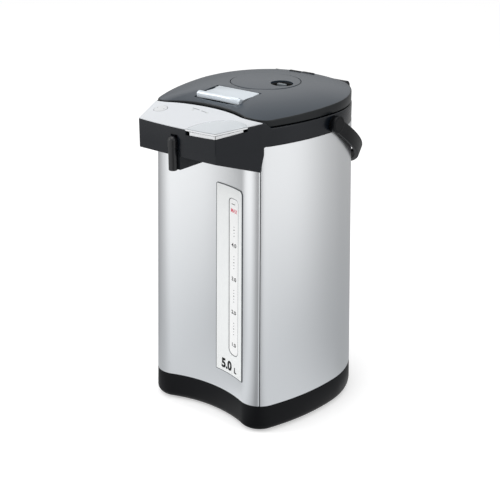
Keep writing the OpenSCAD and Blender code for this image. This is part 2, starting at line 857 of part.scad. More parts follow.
module dispense_button() {
    skirt = 1.6;
    color("#d9dcdf") {
        difference() {
            intersection() {
                translate([button_x, button_y, button_low]) cylinder(r = button_r, h = 40);
                beak_body(-0.7, 0.8, 1.8, button_low);
            }
            under_top(-0.8, button_low - 20);
        }
        intersection() {
            translate([button_x, button_y, button_low]) cylinder(r = button_r - 4, h = 40);
            difference() {
                beak_body(-0.1, 0.8, 1, button_low);
                translate([0, 0, button_low - 1]) linear_extrude(60) beak_plan(skirt, 0);
            }
        }
        translate([button_x, button_y, plunger_z]) cylinder(r = 5, h = beak_front_z + 2.2 - plunger_z);
    }
}

// Round wire wound into a helix, with its ends in the planes z0 and z1
module helix(radius, wire, turns, z0, z1) {
    steps = 14;
    n = turns * steps;
    sides = 6;
    loft([for (i = [0 : n]) let (a = 360 * i / steps, z = z0 + wire + (z1 - z0 - 2 * wire) * i / n)
        [for (j = [0 : sides - 1]) let (b = -360 * j / sides, q = radius + wire * cos(b))
            [q * cos(a), q * sin(a), z + wire * sin(b)]]]);
}

module button_spring() {
    color("#aeb1b4") translate([button_x, button_y, 0]) helix(4.2, 0.4, 4, board_z + 1.6, plunger_z);
}

// ---------- lid ----------

// Height of the lid's rim edge at a point of its outline
function edge_z(x, y) = rim_z + rim_slope * (y + front_depth) + (y < 0 ? crown(x) : 0);

// Ring of the dome at share rho of the rim, moved in by drop
function dome_ring(rho, off, drop) = [for (p = outline(off)) let (
    x = p.x * lid_k,
    y = p.y * lid_k,
    e = edge_z(x, y)
) [x * rho, y * rho, e + (dome_z - e) * (1 - pow(rho, dome_power)) - drop]];

// Small level ring that closes the dome at its crown
function crown_ring(drop) = [for (p = outline(0)) [p.x * 0.05, p.y * 0.05, dome_z - drop]];

function rim_ring(off, drop) = [for (p = outline(off)) let (x = p.x * lid_k, y = p.y * lid_k)
    [x, y, edge_z(x, y) - drop]];

module lid_shell() {
    rho = [1, 0.94, 0.84, 0.7, 0.52, 0.4];
    color("#3a3e44") difference() {
        loft(concat(
            [level(lid_z, -gap - 0.8, lid_k), level(lid_z + 0.8, -gap, lid_k), rim_ring(-gap, 1)],
            [for (r = rho) dome_ring(r, -rim_inset, 0)],
            [crown_ring(0)]
        ));
        loft(concat(
            [level(lid_z - 1, -gap - wall, lid_k), rim_ring(-gap - wall, 3.2)],
            [for (r = [0.94, 0.8, 0.6, 0.4]) dome_ring(r, -rim_inset, wall)],
            [crown_ring(wall)]
        ));
        translate([0, 0, lid_z]) cylinder(r = disc_r + 0.6, h = 40);
        translate([-tray_w / 2 - gap, tray_y0 - gap, lid_z + 5])
            cube([tray_w + 2 * gap, tray_y1 - tray_y0 + 2 * gap, 40]);
        translate([-ear_x1 - 0.5, notch_y, lid_z - 5]) cube([2 * ear_x1 + 1, 40, 40]);
        for (v = vents) translate([v.x, v.y - 1, lid_z + 8]) cube([16.2, 2, 40]);
        bolt_way();
    }
}

lever_y0 = 9.4 - lid_k * (front_depth - front_hollow);
lever_y1 = -disc_r - 6.9;
lever_pin_r = 1.5;
lever_pivot_y = lever_y1 - 3.1;
lever_pivot_z = dome_z - 5.6;
liner_r = mouth_r - 2.4;
liner_z = collar_z + 5;
vent_w = 38;
vent_d = 8;
vent_y = sqrt(pow(liner_r - 3.1, 2) - pow(vent_w / 2, 2)) - vent_d / 2;
vents = [[-16.4, vent_y - 1], [0.4, vent_y + 1.6]];
notch_y = hinge_y - hinge_r - 2.2;

tray_t = 1.6;
tray_w = lever_w + 2 * 0.6 + 2 * tray_t;
tray_y0 = lever_y0 - 0.7 - tray_t;
tray_y1 = lever_y1 + 1.9 + tray_t;
tray_z = dome_z - 14.5;

// Pocket under the latch lever, whose rim lies just under the dome
module lever_tray() {
    color("#26282c") difference() {
        union() {
            translate([-tray_w / 2, 0, 0]) rotate([90, 0, 90]) linear_extrude(tray_w) polygon([
                [tray_y0, tray_z], [tray_y1, tray_z], [tray_y1, dome_z - 2.8],
                [lever_y0 + 18.3, dome_z - 4.8], [tray_y0, dome_z - 8.6]
            ]);
            mirrored() translate([22, tray_y0 + 1, lid_z + 0.3 + 1.6]) cube([4, 5, tray_z - lid_z - 1.4]);
            mirrored() translate([26, tray_y1 - 6, liner_z + 1.6]) cube([4, 5, tray_z - liner_z - 1.1]);
        }
        translate([-tray_w / 2 + tray_t, tray_y0 + tray_t, tray_z + 1.6])
            cube([tray_w - 2 * tray_t, tray_y1 - tray_y0 - 2 * tray_t, 30]);
        mirrored()
            rod_x(lever_pin_r + 0.02, lever_w / 2 - 4, lever_w / 2 + 1.8, lever_pivot_y, lever_pivot_z);
    }
}

// Round well that guides the press disc
module pump_sleeve() {
    color("#2b2e32") translate([0, 0, liner_z + 1.6]) difference() {
        tube(disc_r + 2.2, disc_r + 0.6, dome_z - 4.4 - liner_z - 1.6);
        translate([-22, -disc_r - 4, tray_z - liner_z - 2]) cube([44, 3.2, 30]);
    }
}

// Knuckle at the back of the lid
module lid_hinge() {
    x = ear_x0 - gap;
    color("#34383e") difference() {
        union() {
            rod_x(hinge_r, -x, x, hinge_y, hinge_z);
            translate([-x, 0, 0]) rotate([90, 0, 90]) linear_extrude(2 * x) polygon([
                [hinge_y - 13, lid_z + 1.9], [hinge_y - 3, lid_z + 1.9], [hinge_y, hinge_z - 3],
                [hinge_y, hinge_z + hinge_r], [notch_y + gap, hinge_z + hinge_r + 1.6],
                [notch_y + gap, hinge_z + 4], [hinge_y - 13, hinge_z + 4]
            ]);
        }
        rod_x(hinge_pin_r + pin_fit, -ear_x0 - 1, ear_x0 + 1, hinge_y, hinge_z);
    }
}

module lid_liner() {
    flange_z = lid_z + 0.3;
    color("#c9c6bd") difference() {
        union() {
            translate([0, 0, flange_z]) linear_extrude(1.6) scale(lid_k) polygon(outline(-wall - 2 * gap));
            translate([0, 0, liner_z]) cylinder(r = liner_r, h = flange_z - liner_z + 1);
        }
        translate([0, 0, liner_z + 1.6]) cylinder(r = liner_r - 2, h = 30);
        translate([-ear_x1 - 0.8, notch_y - 0.5, lid_z - 2]) cube([2 * ear_x1 + 1.6, 40, 12]);
        translate([-17, vent_y - 1.5, liner_z - 1]) cube([34, 3, 3]);
        translate([0, 0, liner_z - 1]) cylinder(r = 12, h = 4);
    }
}

module inner_lid() {
    color("#c3c6c9") translate([0, 0, liner_z - 1]) difference() {
        cylinder(r = liner_r - 2, h = 1);
        for (a = [0 : 30 : 330]) rotate([0, 0, a]) translate([60, 0, -1]) cylinder(r = 1.6, h = 3);
        translate([0, 0, -1]) cylinder(r = 8, h = 3);
    }
}

module lid_gasket() {
    color("#dcd8cf") translate([0, 0, liner_z + 2]) tube(mouth_r - 0.6, liner_r + 0.05, 4);
}

module steam_vent() {
    color("#2c2f33") translate([0, vent_y + 0.3, liner_z + 1.6]) difference() {
        translate([-vent_w / 2, -vent_d / 2, 0]) cube([vent_w, vent_d, dome_z - liner_z - 10.4]);
        translate([-vent_w / 2 + 1.4, -vent_d / 2 + 1.4, -1]) cube([vent_w - 2.8, vent_d - 2.8, 60]);
    }
}

module lever_pins() {
    color("#b0b3b6") mirrored()
        rod_x(lever_pin_r, lever_w / 2 - 4, lever_w / 2 + 1.8, lever_pivot_y, lever_pivot_z);
}

// ---------- manual pump ----------

// The disc's drum is about as deep as its stroke
drum_z = dome_z - disc_travel + 0.5;

module press_disc() {
    color("#3f444a") difference() {
        rotate_extrude() polygon(concat(
            [[0, drum_z], [disc_r - 1.5, drum_z], [disc_r, drum_z + 1.5]],
            [for (k = [1, 0.8, 0.5, 0.25]) [k * disc_r, dome_z - 1.3 * k * k]],
            [[0, dome_z]]
        ));
        translate([0, 0, drum_z + 1.6]) difference() {
            cylinder(r = disc_r - 2.2, h = dome_z - drum_z - 5.4);
            translate([knob_x, 0, -1]) cylinder(r = knob_r + 1.8, h = 40);
        }
        translate([knob_x, 0, drum_z + 3.4]) cylinder(r = knob_r + gap, h = 40);
        translate([knob_x, 0, drum_z - 1]) cylinder(r = 4 + pin_fit, h = 40);
    }
}

module lock_knob() {
    color("#33373c") translate([knob_x, 0, 0]) {
        difference() {
            translate([0, 0, drum_z + 3.5]) cylinder(r = knob_r, h = dome_z - 1 - drum_z - 3.5);
            difference() {
                translate([0, 0, drum_z + 5.2]) cylinder(r = knob_r - 1.6, h = 30);
                translate([-knob_r, -1.6, drum_z]) cube([2 * knob_r, 3.2, 40]);
            }
        }
        translate([0, 0, drum_z + 0.2]) cylinder(r = 4, h = 5);
    }
}

bellows_z = liner_z + 1.6;

module bellows() {
    folds = 3;
    pitch = (drum_z - bellows_z) / folds;
    r_out = 30;
    r_in = 25;
    color("#d8d4c8") rotate_extrude() polygon(concat(
        [for (i = [0 : folds - 1]) each
            [[r_in, bellows_z + i * pitch], [r_out, bellows_z + (i + 0.5) * pitch]]],
        [[r_in, drum_z], [r_in - 1, drum_z]],
        [for (i = [folds - 1 : -1 : 0]) each
            [[r_out - 1.4, bellows_z + (i + 0.5) * pitch], [r_in - 1.2, bellows_z + i * pitch]]]
    ));
}

module bellows_spring() {
    color("#b4b7ba") helix(16, 0.9, 4, bellows_z, drum_z);
}

// ---------- latch ----------

module latch_lever() {
    rear_z = dome_z - 1.7;
    lip_z = dome_z - 2;
    color("#d5d8db") difference() {
        translate([-lever_w / 2, 0, 0]) rotate([90, 0, 90]) linear_extrude(lever_w) polygon([
            [lever_y1, rear_z - 0.4], [lever_y1 - 0.8, rear_z],
            [lever_y0 + 16.3, lip_z - 2.9], [lever_y0 + 9.3, lip_z - 3.3], [lever_y0 + 6.7, lip_z - 2.4],
            [lever_y0 + 4.9, lip_z - 0.8], [lever_y0 + 3.1, lip_z], [lever_y0 + 1.3, lip_z - 0.8],
            [lever_y0, lip_z - 2.6], [lever_y0 + 0.5, lip_z - 4.4], [lever_y0 + 2.3, lip_z - 5.6],
            [lever_y0 + 8.3, lip_z - 6], [lever_y1 - 13.1, rear_z - 5.4], [lever_y1 - 6.1, rear_z - 7],
            [lever_pivot_y, rear_z - 7.4], [lever_y1 - 0.7, rear_z - 6.4], [lever_y1, rear_z - 4]
        ]);
        mirrored() rod_x(lever_pin_r + pin_fit, lever_w / 2 - 4, lever_w, lever_pivot_y, lever_pivot_z);
    }
}

module latch_bolt() {
    color("#b9bcbf") translate([-bolt_w / 2, bolt_y, bolt_z])
        cube([bolt_w, lever_y0 + 21.3 - bolt_y, bolt_t]);
}

// ---------- handle ----------

// Middle line of the bail in its own plane: a straight arm, then half an ellipse
arm = 20;
n_arm = 18;
function bail_point(i) = let (a = i <= 0 ? 0 : i >= n_arm ? 180 : 180 * i / n_arm)
    i < 0 ? [bail_half_w, 0] : i > n_arm ? [-bail_half_w, 0]
    : [bail_half_w * cos(a), arm + (bail_reach - arm) * sin(a)];

// Outward direction of the strap at point i
function bail_out(i) = let (a = i <= 0 ? 0 : i >= n_arm ? 180 : 180 * i / n_arm,
    v = [(bail_reach - arm) * cos(a), bail_half_w * sin(a)]) v / norm(v);

module bail_strap() {
    web = 2.4;
    flange = 2.4;
    w = strap_w / 2;
    section = [[web, -w + 1], [web, w - 1], [web - 1, w], [-flange, w], [-flange, w - 2], [0, w - 2],
        [0, -w + 2], [-flange, -w + 2], [-flange, -w], [web - 1, -w]];
    loft([for (i = [-1 : n_arm + 1]) let (p = bail_point(i), o = bail_out(i), s = i < 0 || i > n_arm ? 5 : 0)
        [for (q = section) [p.x + o.x * q[0], p.y + s + o.y * q[0], -q[1]]]]);
}

module handle() {
    color("#1b1c1e") translate([0, pivot_y, pivot_z]) rotate([-bail_droop, 0, 0]) difference() {
        union() {
            bail_strap();
            mirrored() rod_x(strap_w / 2 + 1.6, strap_in, strap_out, 0, 0);
        }
        mirrored() {
            rod_x(pivot_r + pin_fit, strap_in - 5, strap_out + 5, 0, 0);
            rod_x(cap_r + gap, strap_out - cap_t - gap, strap_out + 5, 0, 0);
        }
    }
}

base_skirt();
bottom_plate();
foot_ring();
base_screws();
power_inlet();
inlet_pins();
side_shell();
front_cover();
gauge_panel();
gauge_window();
gauge_glass();
gauge_cuffs();
vessel();
neck_gasket();
insulation_wrap();
band_heater();
thermostat();
vessel_stand();
pump_housing();
pump_motor();
suction_hose();
outlet_hose();
delivery_hose();
control_board();
neck_ring();
hood();
hood_fairing();
nozzle_block();
spout_tube();
control_panel();
panel_board();
lamps();
handle_caps();
hinge_pin();
lid_shell();
lid_hinge();
pump_sleeve();
lever_tray();
lid_liner();
inner_lid();
lid_gasket();
steam_vent();
lever_pins();
press_disc();
lock_knob();
bellows();
bellows_spring();
latch_lever();
latch_bolt();
dispense_button();
button_spring();
round_key();
handle();
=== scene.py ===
from math import asin, atan2, cos, pi, radians, sin, sqrt, tan

import bmesh
import bpy
from mathutils import Euler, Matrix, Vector


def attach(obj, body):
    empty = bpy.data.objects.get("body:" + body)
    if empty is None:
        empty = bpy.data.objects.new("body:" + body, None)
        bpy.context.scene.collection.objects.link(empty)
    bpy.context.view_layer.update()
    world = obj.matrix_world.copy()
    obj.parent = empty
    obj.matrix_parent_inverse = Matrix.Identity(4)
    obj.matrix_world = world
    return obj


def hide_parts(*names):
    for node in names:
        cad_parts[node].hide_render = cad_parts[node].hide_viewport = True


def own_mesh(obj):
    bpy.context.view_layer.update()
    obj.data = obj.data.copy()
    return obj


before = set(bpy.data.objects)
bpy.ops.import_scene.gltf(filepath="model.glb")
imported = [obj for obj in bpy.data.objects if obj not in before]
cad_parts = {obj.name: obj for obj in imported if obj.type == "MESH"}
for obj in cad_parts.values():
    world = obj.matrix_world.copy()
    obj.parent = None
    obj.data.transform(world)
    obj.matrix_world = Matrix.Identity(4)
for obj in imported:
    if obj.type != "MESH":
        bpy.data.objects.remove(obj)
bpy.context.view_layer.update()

MM = 0.001
view_turn = radians(38.88)
view_drop = radians(21.664)
view_distance = 1350.6
view_target = Vector((-13.71, -11.05, 170.83))
view_back = Vector((sin(view_turn) * cos(view_drop), -cos(view_turn) * cos(view_drop), sin(view_drop)))

camera_data = bpy.data.cameras.new("camera")
camera_data.lens = 81.68
camera_data.sensor_width = 36
camera = bpy.data.objects.new("camera", camera_data)
camera.location = (view_target + view_distance * view_back) * MM
camera.rotation_euler = Euler((pi / 2 - view_drop, 0, view_turn))
bpy.context.collection.objects.link(camera)
bpy.context.scene.camera = camera


# ---- Floor and studio ----
# A pale sweep of floor under soft boxes. The world is white to the camera and in reflections,
# and a little lower where it lights the pot.
class Socket:
    """The output of a shader node. Sums on it add nodes to its tree."""

    def __init__(self, tree, output=None):
        self.tree = tree
        self.output = output

    def node(self, kind, settings=None, sockets=None, output=0):
        """Adds a node: its settings first, then the values or links of its sockets."""
        added = self.tree.nodes.new("ShaderNode" + kind)
        for name, value in (settings or {}).items():
            if name == "stops":
                elements = added.color_ramp.elements
                while len(elements) < len(value):
                    elements.new(1)
                for element, (position, level) in zip(elements, value):
                    element.position = position
                    element.color = (level, level, level, 1)
            else:
                setattr(added, name, value)
        for name, value in (sockets or {}).items():
            if isinstance(value, Socket):
                self.tree.links.new(value.output, added.inputs[name])
            else:
                added.inputs[name].default_value = value
        return Socket(self.tree, added.outputs[output] if added.outputs else None)

    def sums(self, operation, first, second):
        kinds = {s.output.type for s in (first, second) if isinstance(s, Socket)}
        if "RGBA" in kinds:
            sockets = {0: 1.0, 6: first, 7: second}
            return self.node("Mix", {"data_type": "RGBA", "blend_type": operation}, sockets, 2)
        kind = "VectorMath" if "VECTOR" in kinds else "Math"
        return self.node(kind, {"operation": operation}, {0: first, 1: second})

    def __add__(self, other):
        return self.sums("ADD", self, other)

    def __radd__(self, other):
        return self.sums("ADD", other, self)

    def __sub__(self, other):
        return self.sums("SUBTRACT", self, other)

    def __rsub__(self, other):
        return self.sums("SUBTRACT", other, self)

    def __mul__(self, other):
        return self.sums("MULTIPLY", self, other)

    def __rmul__(self, other):
        return self.sums("MULTIPLY", other, self)

    def __gt__(self, other):
        return self.sums("GREATER_THAN", self, other)

    def __lt__(self, other):
        return self.sums("LESS_THAN", self, other)


def shade(hex_code):
    """A colour written as on a paint card, in the linear values that Blender uses."""
    parts = [int(hex_code[i:i + 2], 16) / 255 for i in (0, 2, 4)]
    return tuple(p / 12.92 if p <= 0.04045 else ((p + 0.055) / 1.055) ** 2.4 for p in parts)


def between(mask, low, high):
    """A colour that goes from low to high with the mask."""
    sockets = {0: mask, 6: low if isinstance(low, Socket) else (*low, 1),
               7: high if isinstance(high, Socket) else (*high, 1)}
    return mask.node("Mix", {"data_type": "RGBA"}, sockets, 2)


def new_material(name):
    material = bpy.data.materials.new(name)
    material.use_nodes = True
    material.node_tree.nodes.clear()
    return material, Socket(material.node_tree)


def close_material(start, sockets):
    """Ends a material with one Principled surface."""
    shader = start.node("BsdfPrincipled", {}, sockets)
    start.node("OutputMaterial", {}, {"Surface": shader})


def unseen_by_lamps(tree_start):
    """1 for the camera's, mirrors' and glass's rays, 0 for those that carry light."""
    rays = [tree_start.node("LightPath", output=name)
            for name in ("Is Camera Ray", "Is Glossy Ray", "Is Transmission Ray")]
    return (rays[0] + rays[1] + rays[2]) > 0.5


world = bpy.data.worlds.new("studio")
bpy.context.scene.world = world
world.use_nodes = True
world.node_tree.nodes.clear()
air = Socket(world.node_tree)
sky_light = 0.62
seen = unseen_by_lamps(air)
sky = air.node("Background", {}, {"Color": (1, 1, 1, 1), "Strength": seen * (1 - sky_light) + sky_light})
air.node("OutputWorld", {}, {"Surface": sky})
bpy.context.scene.view_settings.view_transform = "Standard"

floor_reach = 6000


def add_mesh(name, points, faces, smooth=None):
    """A mesh object from points in millimetres. Edges sharper than smooth degrees stay crisp."""
    mesh = bpy.data.meshes.new(name)
    mesh.from_pydata([Vector(p) * MM for p in points], [], faces)
    mesh.validate()
    if smooth is not None:
        mesh.shade_smooth()
        mesh.set_sharp_from_angle(angle=radians(smooth))
    piece = bpy.data.objects.new(name, mesh)
    bpy.context.collection.objects.link(piece)
    return piece


def hoops(n, m, closed=False):
    """Faces between m rings of n points each. closed joins the last ring to the first."""
    return [(j * n + i, j * n + (i + 1) % n, (j + 1) % m * n + (i + 1) % n, (j + 1) % m * n + i)
            for j in range(m if closed else m - 1) for i in range(n)]


def loft(name, rings, smooth=35, closed=True, caps=(False, False)):
    """Skin over rings of equally many points."""
    n, m = len(rings[0]), len(rings)
    faces = hoops(n, m, closed)
    if caps[0]:
        faces.append(tuple(range(n - 1, -1, -1)))
    if caps[1]:
        faces.append(tuple(range((m - 1) * n, m * n)))
    return add_mesh(name, [p for ring in rings for p in ring], faces, smooth)


square = ((-1, -1), (1, -1), (1, 1), (-1, 1))
floor = add_mesh("floor", [(x * floor_reach, y * floor_reach, 0) for x, y in square], [(0, 1, 2, 3)])
floor_paint, start = new_material("floor_paint")
seen = unseen_by_lamps(start)
matt = start.node("BsdfDiffuse", {}, {"Color": (0.86, 0.86, 0.86, 1)})
glow = start.node("Emission", {}, {"Color": (1, 1, 1, 1), "Strength": 0.42})
start.node("OutputMaterial", {}, {"Surface": start.node(
    "AddShader", {}, {0: matt, 1: start.node("MixShader", {}, {0: seen, 2: glow})})})
floor.data.materials.append(floor_paint)


def soft_box(name, place, aim, width, height, watts):
    light = bpy.data.lights.new(name, "AREA")
    light.shape = "RECTANGLE"
    light.size = width * MM
    light.size_y = height * MM
    light.energy = watts
    lamp = bpy.data.objects.new(name, light)
    lamp.location = Vector(place) * MM
    lamp.rotation_euler = (Vector(aim) - Vector(place)).to_track_quat("-Z", "Y").to_euler()
    bpy.context.collection.objects.link(lamp)


soft_box("soft_box_above", (-200, -300, 2100), (0, 0, 200), 1500, 1500, 11)
soft_box("soft_box_left", (-1500, -1300, 900), (0, 0, 180), 900, 1400, 14)
soft_box("soft_box_right", (1900, 300, 1000), (0, 0, 180), 900, 1400, 7)

# A round card is seen in the pot's steel and nowhere else. Each entry is a direction in degrees, and
# the card's levels there at the foot and at the neck.
card_levels = (
    (-180, 0.30, 0.30), (-165, 0.32, 0.32), (-148, 0.40, 0.42), (-139, 0.42, 0.48), (-132, 0.44, 0.56),
    (-124, 0.47, 0.64), (-119, 0.51, 0.78), (-114, 0.56, 0.88), (-105, 0.61, 0.89), (-97, 0.68, 0.98),
    (-86, 0.66, 0.95), (-74, 0.50, 0.66), (-61, 0.20, 0.20), (-50, 0.45, 0.50), (-44, 0.55, 0.80),
    (-38, 0.60, 0.84), (-10, 0.585, 0.80), (0, 0.555, 0.84), (7, 0.525, 0.84), (12, 0.50, 0.80),
    (16, 0.48, 0.74), (21, 0.46, 0.67), (27, 0.42, 0.575), (33, 0.39, 0.50), (38, 0.37, 0.46),
    (46, 0.37, 0.42), (75, 0.365, 0.41), (150, 0.33, 0.35), (180, 0.30, 0.30))


def add_card():
    turns = [2 * pi * i / 96 for i in range(96)]
    rings = [[(r * cos(t), r * sin(t), z) for t in turns] for r, z in ((118, 1), (330, 1), (330, 430))]
    card = loft("round_card", rings, None, False)
    paint, start = new_material("card_paint")
    place = start.node("TexCoord", output="Object")
    turn = start.node("TexGradient", {"gradient_type": "RADIAL"}, {"Vector": place}, "Fac")
    stops = [[(entry[0] / 360 + 0.5, entry[i]) for entry in card_levels] for i in (1, 2)]
    foot, neck = [start.node("ValToRGB", {"stops": levels}, {"Fac": turn}) for levels in stops]
    rise = start.node("SeparateXYZ", {}, {"Vector": place}, "Z") * 4.5
    colour = between(rise, foot * (0.98, 1, 1.02, 1), neck)
    glow = start.node("Emission", {}, {"Color": colour, "Strength": 1.2})
    start.node("OutputMaterial", {}, {"Surface": glow})
    card.data.materials.append(paint)
    for rays in ("camera", "diffuse", "transmission", "volume_scatter", "shadow"):
        setattr(card, "visible_" + rays, False)


add_card()


# ---- Base ----
# The skirt is one moulding in black plastic with a rounded foot, open at the back for the power
# inlet. The bottom plate, a rubber standing ring and three screws close it from below.
foot_h = 1.2
base_h = 33.6
base_edge = 8.4
neck_z = 334.5
half_w = 105
corner_x = 63
corner_r = 25
front_depth = 113.5
hollow_r = (corner_x ** 2 + 12 ** 2) / 24 - corner_r
hollow_y = 12 - front_depth - hollow_r
corner_y = corner_r - front_depth
side_r = ((corner_x - half_w) ** 2 + corner_y ** 2 - corner_r ** 2) / (2 * (half_w - corner_x - corner_r))
side_x = half_w - side_r
hollow_turn = atan2(corner_x, corner_y - hollow_y)
corner_start = -pi / 2 - hollow_turn
corner_end = atan2(corner_y, corner_x - side_x)


def taper(z):
    """Share of the full plan at a height: the body narrows upwards."""
    return 1 - 0.071 * z / neck_z


def arc(centre_x, centre_y, radius, first, last, steps, ends=False):
    """Points on an arc, without its last one unless ends is set."""
    return [(centre_x + radius * cos(first + (last - first) * i / steps),
             centre_y + radius * sin(first + (last - first) * i / steps)) for i in range(steps + ends)]


def right_edge(off):
    """Right half of the plan, from the middle of the front to the middle of the back."""
    corner = arc(corner_x, corner_y, corner_r + off, corner_start, corner_end, 28)
    return (arc(0, hollow_y, hollow_r - off, pi / 2, pi / 2 - hollow_turn, 20) + corner
            + arc(side_x, 0, side_r + off, corner_end, 0, 10)
            + arc(0, 0, half_w + off, 0, pi / 2, 36, True))


def outline(off=0.0):
    half = right_edge(off)
    return half + [(-x, y) for x, y in half[-2:0:-1]]


def level(z, off=0.0, share=None):
    """The plan, moved outwards by off, as a ring of points at height z."""
    k = share or taper(z)
    return [(x * k, y * k, z) for x, y in outline(off)]


def prism(name, plan, low, high, lay=lambda x, y, z: (x, y, z), steps=1):
    """A block over a plan, turned or bent by lay into its place."""
    n = len(plan)
    points = [lay(x, y, low + (high - low) * j / steps) for j in range(steps + 1) for x, y in plan]
    faces = [tuple(range(n - 1, -1, -1)), tuple(range(steps * n, (steps + 1) * n))]
    block = add_mesh(name, points, faces + hoops(n, steps + 1))
    tidy = bmesh.new()
    tidy.from_mesh(block.data)
    bmesh.ops.recalc_face_normals(tidy, faces=tidy.faces)
    tidy.to_mesh(block.data)
    tidy.free()
    return block


def settle(piece, smooth=None):
    """Turns a piece's modifiers into its mesh."""
    bpy.context.view_layer.update()
    made = piece.evaluated_get(bpy.context.evaluated_depsgraph_get())
    mesh = bpy.data.meshes.new_from_object(made)
    piece.modifiers.clear()
    piece.data = mesh
    if smooth is not None:
        mesh.shade_smooth()
        mesh.set_sharp_from_angle(angle=radians(smooth))
    return piece


def cut(piece, *tools, way="DIFFERENCE", smooth=35):
    """Cuts the tools out of a piece, and throws the tools away."""
    for tool in tools:
        step = piece.modifiers.new("cut", "BOOLEAN")
        step.operation = way
        step.solver = "EXACT"
        step.object = tool
        settle(piece)
        bpy.data.objects.remove(tool)
    return settle(piece, smooth)


def soften(piece, width, sharp=30):
    """Rounds over the edges that are sharper than that many degrees."""
    bevel = piece.modifiers.new("round_over", "BEVEL")
    bevel.width = width * MM
    bevel.segments = 3
    bevel.limit_method = "ANGLE"
    bevel.angle_limit = radians(sharp)
    return settle(piece, 40)


def box_tool(low, high):
    plan = [(low[0], low[1]), (high[0], low[1]), (high[0], high[1]), (low[0], high[1])]
    return prism("tool", plan, low[2], high[2])


def drum_tool(x, y, radius, low, high, sides=96):
    return prism("tool", arc(x, y, radius, 0, 2 * pi, sides), low, high)


def fit(piece, body, slot, material, *nodes):
    """Fixes a piece to its body, gives it its finish, and lets it stand for CAD nodes."""
    piece.data.materials.clear()
    piece.data.materials.append(material)
    if nodes:
        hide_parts(*nodes)
    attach(piece, body)
    return piece


def dress(node, material):
    """Gives a CAD node, which stays as it is, its finish."""
    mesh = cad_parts[node].data
    mesh.materials.clear()
    mesh.materials.append(material)


def plastic(name, colour, roughness, gloss=0.4, grain=1400, depth=0.02, coat=0.0, vary=0.12):
    """Moulded plastic: a fine spark-eroded grain, slightly uneven colour and gloss."""
    material, start = new_material(name)
    place = start.node("TexCoord", output="Object")
    fine = start.node("TexNoise", {}, {"Vector": place, "Scale": grain, "Detail": 3.0})
    cloud = start.node("TexNoise", {}, {"Vector": place, "Scale": 22.0, "Detail": 2.0})
    colour = shade(colour)
    darker = tuple(c * (1 - vary) for c in colour)
    lighter = tuple(c * (1 + vary) for c in colour)
    bump = start.node("Bump", {}, {"Height": fine, "Strength": depth * 10, "Distance": 0.0001})
    close_material(start, {
        "Base Color": between(cloud, darker, lighter),
        "Roughness": fine * 0.08 + cloud * 0.05 + (roughness - 0.065),
        "Specular IOR Level": gloss,
        "Coat Weight": coat,
        "Coat Roughness": 0.12,
        "Normal": bump,
    })
    return material


def grained(name, low, high, scale, detail, gloss, bump=None, stretch=(1, 1, 1), warp=0.0, more=None):
    """A finish whose colour, gloss and height follow one noise. gloss is its roughness's span and least."""
    material, start = new_material(name)
    place = start.node("TexCoord", output="Object") * stretch
    noise = start.node("TexNoise", {}, {"Vector": place, "Scale": scale, "Detail": detail,
                                        "Distortion": warp})
    sockets = {"Base Color": between(noise, shade(low), shade(high)),
               "Roughness": noise * gloss[0] + gloss[1]}
    if bump:
        sockets["Normal"] = start.node("Bump", {}, {"Height": noise, "Strength": bump[0],
                                                    "Distance": bump[1]})
    close_material(start, {**sockets, **(more or {})})
    return material


base_black = plastic("base_black", "0b0c0f", 0.42, 0.14)
lip = -1.9
quarter = [pi / 2 * i / 12 for i in range(13)]
base_rings = [level(foot_h + base_edge * (1 - cos(a)), -base_edge * (1 - sin(a))) for a in quarter]
base_rings += [level(base_h - 0.5, 0), level(base_h - 0.15, -0.15), level(base_h, -0.5), level(base_h, lip)]
base_rings += [level(base_h + 4, lip), level(base_h + 4, lip - 1.6), level(base_h - 2, -3.6)]
base_rings += [level(foot_h + base_edge + 1, -3.6), level(3.6, -6.9), level(3.6, -13.2), level(foot_h, -13.2)]
base = loft("base_skirt", base_rings)
cut(base, box_tool((-15, 80, 8), (15, 120, 30)))
fit(base, "pot", "base_black", base_black, "base_skirt")

under_black = plastic("under_black", "121314", 0.55, 0.2)
dress("bottom_plate", under_black)

foot_rubber = grained("foot_rubber", "232325", "303033", 700.0, 4.0, (0.15, 0.72), (0.3, 0.0002))
dress("foot_ring", foot_rubber)


def metal(name, colour, roughness, stretch, depth=0.1, spread=0.05, share=1.0):
    """Metal drawn or brushed in one direction: noise squeezed along stretch."""
    material, start = new_material(name)
    place = start.node("TexCoord", output="Object") * stretch
    grain = start.node("TexNoise", {}, {"Vector": place, "Scale": 1.0, "Detail": 3.0})
    colour = shade(colour)
    low = tuple(c * (1 - spread) for c in colour)
    bump = start.node("Bump", {}, {"Height": grain, "Strength": depth, "Distance": 0.00005})
    close_material(start, {
        "Base Color": between(grain, low, colour),
        "Metallic": share,
        "Roughness": grain * 0.1 + (roughness - 0.05),
        "Normal": bump,
    })
    return material


screw_steel = metal("screw_steel", "9a9da0", 0.32, (900, 900, 900))
for node in ("base_screws", "hinge_pin", "lever_pins", "latch_bolt"):
    dress(node, screw_steel)

inlet_black = plastic("inlet_black", "101113", 0.5, 0.3)
dress("power_inlet", inlet_black)
contact_metal = metal("contact_metal", "c9ccce", 0.25, (300, 300, 2500))
dress("inlet_pins", contact_metal)


# ---- Body ----
# A sheet of satin steel is wrapped round the sides and the back. The hollowed front cover meets it
# at an upright seam on each front corner, where both edges roll inwards.
body_foot = base_h + 0.05
seam_turn = radians(-52)
seam_half = radians(0.69)


def edge_roll(distance, radius):
    """How far a sheet's face has turned inwards at that distance from its edge."""
    if distance >= radius:
        return 0.0
    return radius - sqrt(radius ** 2 - (radius - distance) ** 2)


